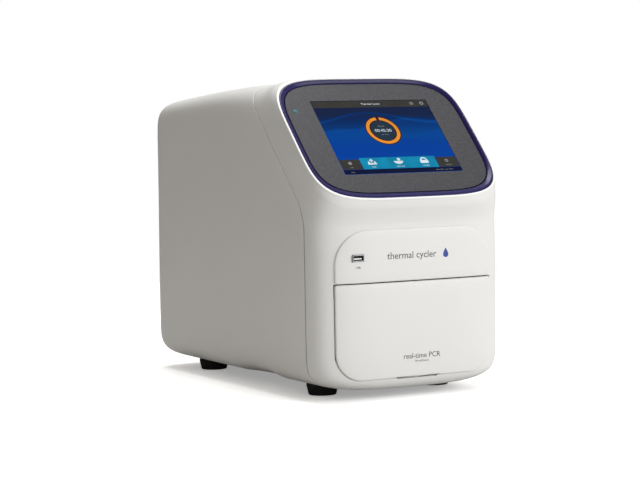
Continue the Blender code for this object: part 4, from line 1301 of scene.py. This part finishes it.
# Each lamp: name, place, what it points at, width, power
LAMPS = (
    ("key", (1.4, -2.4, 1.0), (0.0, -0.2, 0.2), 1.5, 33.0),
    ("overhead", (0.15, 0.3, 2.5), (0.0, 0.0, 0.2), 1.3, 40.0),
)
CAMERA_AZIMUTH = math.radians(-28.35)
CAMERA_RISE = math.radians(3.6)
CAMERA_ROLL = math.radians(-1.07)
CAMERA_DISTANCE = 2.6846
CAMERA_TARGET = Vector((-0.00216, 0.0, 0.18283))
CAMERA_LENS = 113.7


def make_floor():
    """A white floor. What it gives back to the object is dimmer than what the camera sees."""
    mesh = bmesh.new()
    mesh.faces.new([mesh.verts.new((FLOOR_RADIUS * a, FLOOR_RADIUS * b, 0.0))
                    for a, b in circle((0.0, 0.0), 1.0, 96)])
    floor = as_object("floor", mesh)
    graph = Graph("floor_white")
    graph.tree.nodes.remove(graph.shader)
    seen = graph.add("ShaderNodeBsdfDiffuse", {"Color": FLOOR_SEEN})
    glow = graph.add("ShaderNodeEmission", {"Strength": FLOOR_GLOW})
    both = graph.add("ShaderNodeAddShader",
                     {0: seen.outputs["BSDF"], 1: glow.outputs["Emission"]})
    bounce = graph.add("ShaderNodeBsdfDiffuse", {"Color": FLOOR_BOUNCE})
    graph.split_rays(bounce.outputs["BSDF"], both.outputs["Shader"], "Material Output")
    floor.data.materials.append(graph.owner)


def make_surround():
    """A white studio for the camera; its light is bright from the front right, dim at the left."""
    graph = Graph("studio", bpy.data.worlds)
    back = graph.tree.nodes["Background"]
    lean = graph.add("ShaderNodeVectorMath", {0: graph.places["Generated"], 1: SKY_BRIGHT_SIDE},
                     operation="DOT_PRODUCT")
    level = graph.add("ShaderNodeMapRange", {"Value": lean.outputs["Value"], "From Min": -1.0})
    tone = graph.ramp(level.outputs["Result"], SKY_TONES)
    graph.feed(back, {"Color": tone, "Strength": SKY_POWER})
    seen = graph.add("ShaderNodeBackground", {"Color": (1.0, 1.0, 1.0, 1.0)})
    graph.split_rays(back.outputs["Background"], seen.outputs["Background"], "World Output")
    bpy.context.scene.world = graph.owner


def make_lamps():
    for name, at, aim, width, power in LAMPS:
        data = bpy.data.lights.new(name, "AREA")
        data.size = width
        data.energy = power
        lamp = new_object(name, data)
        lamp.location = at
        lamp.rotation_euler = (Vector(aim) - Vector(at)).to_track_quat("-Z", "Y").to_euler()


def make_camera():
    flat = math.cos(CAMERA_RISE)
    back = Vector((math.sin(CAMERA_AZIMUTH) * flat, -math.cos(CAMERA_AZIMUTH) * flat,
                   math.sin(CAMERA_RISE)))
    right = (-back).cross(Vector((0.0, 0.0, 1.0))).normalized()
    up = right.cross(-back)
    c, s = math.cos(CAMERA_ROLL), math.sin(CAMERA_ROLL)
    pose = Matrix((c * right + s * up, c * up - s * right, back)).transposed().to_4x4()
    pose.translation = CAMERA_TARGET + back * CAMERA_DISTANCE
    data = bpy.data.cameras.new("camera")
    data.lens = CAMERA_LENS
    data.clip_end = 60.0
    camera = new_object("camera", data)
    camera.matrix_world = pose
    bpy.context.scene.camera = camera
    bpy.context.scene.view_settings.view_transform = "Standard"


make_camera()
make_shells()
make_seam_shade_strip()
make_pad()
make_rim()
make_fascia()
make_picture()
make_front_details()
make_feet()
make_block()
make_cover_plate()
make_screws()
make_fan()
make_rear_details()
dress_kept_nodes()
make_floor()
make_surround()
make_lamps()
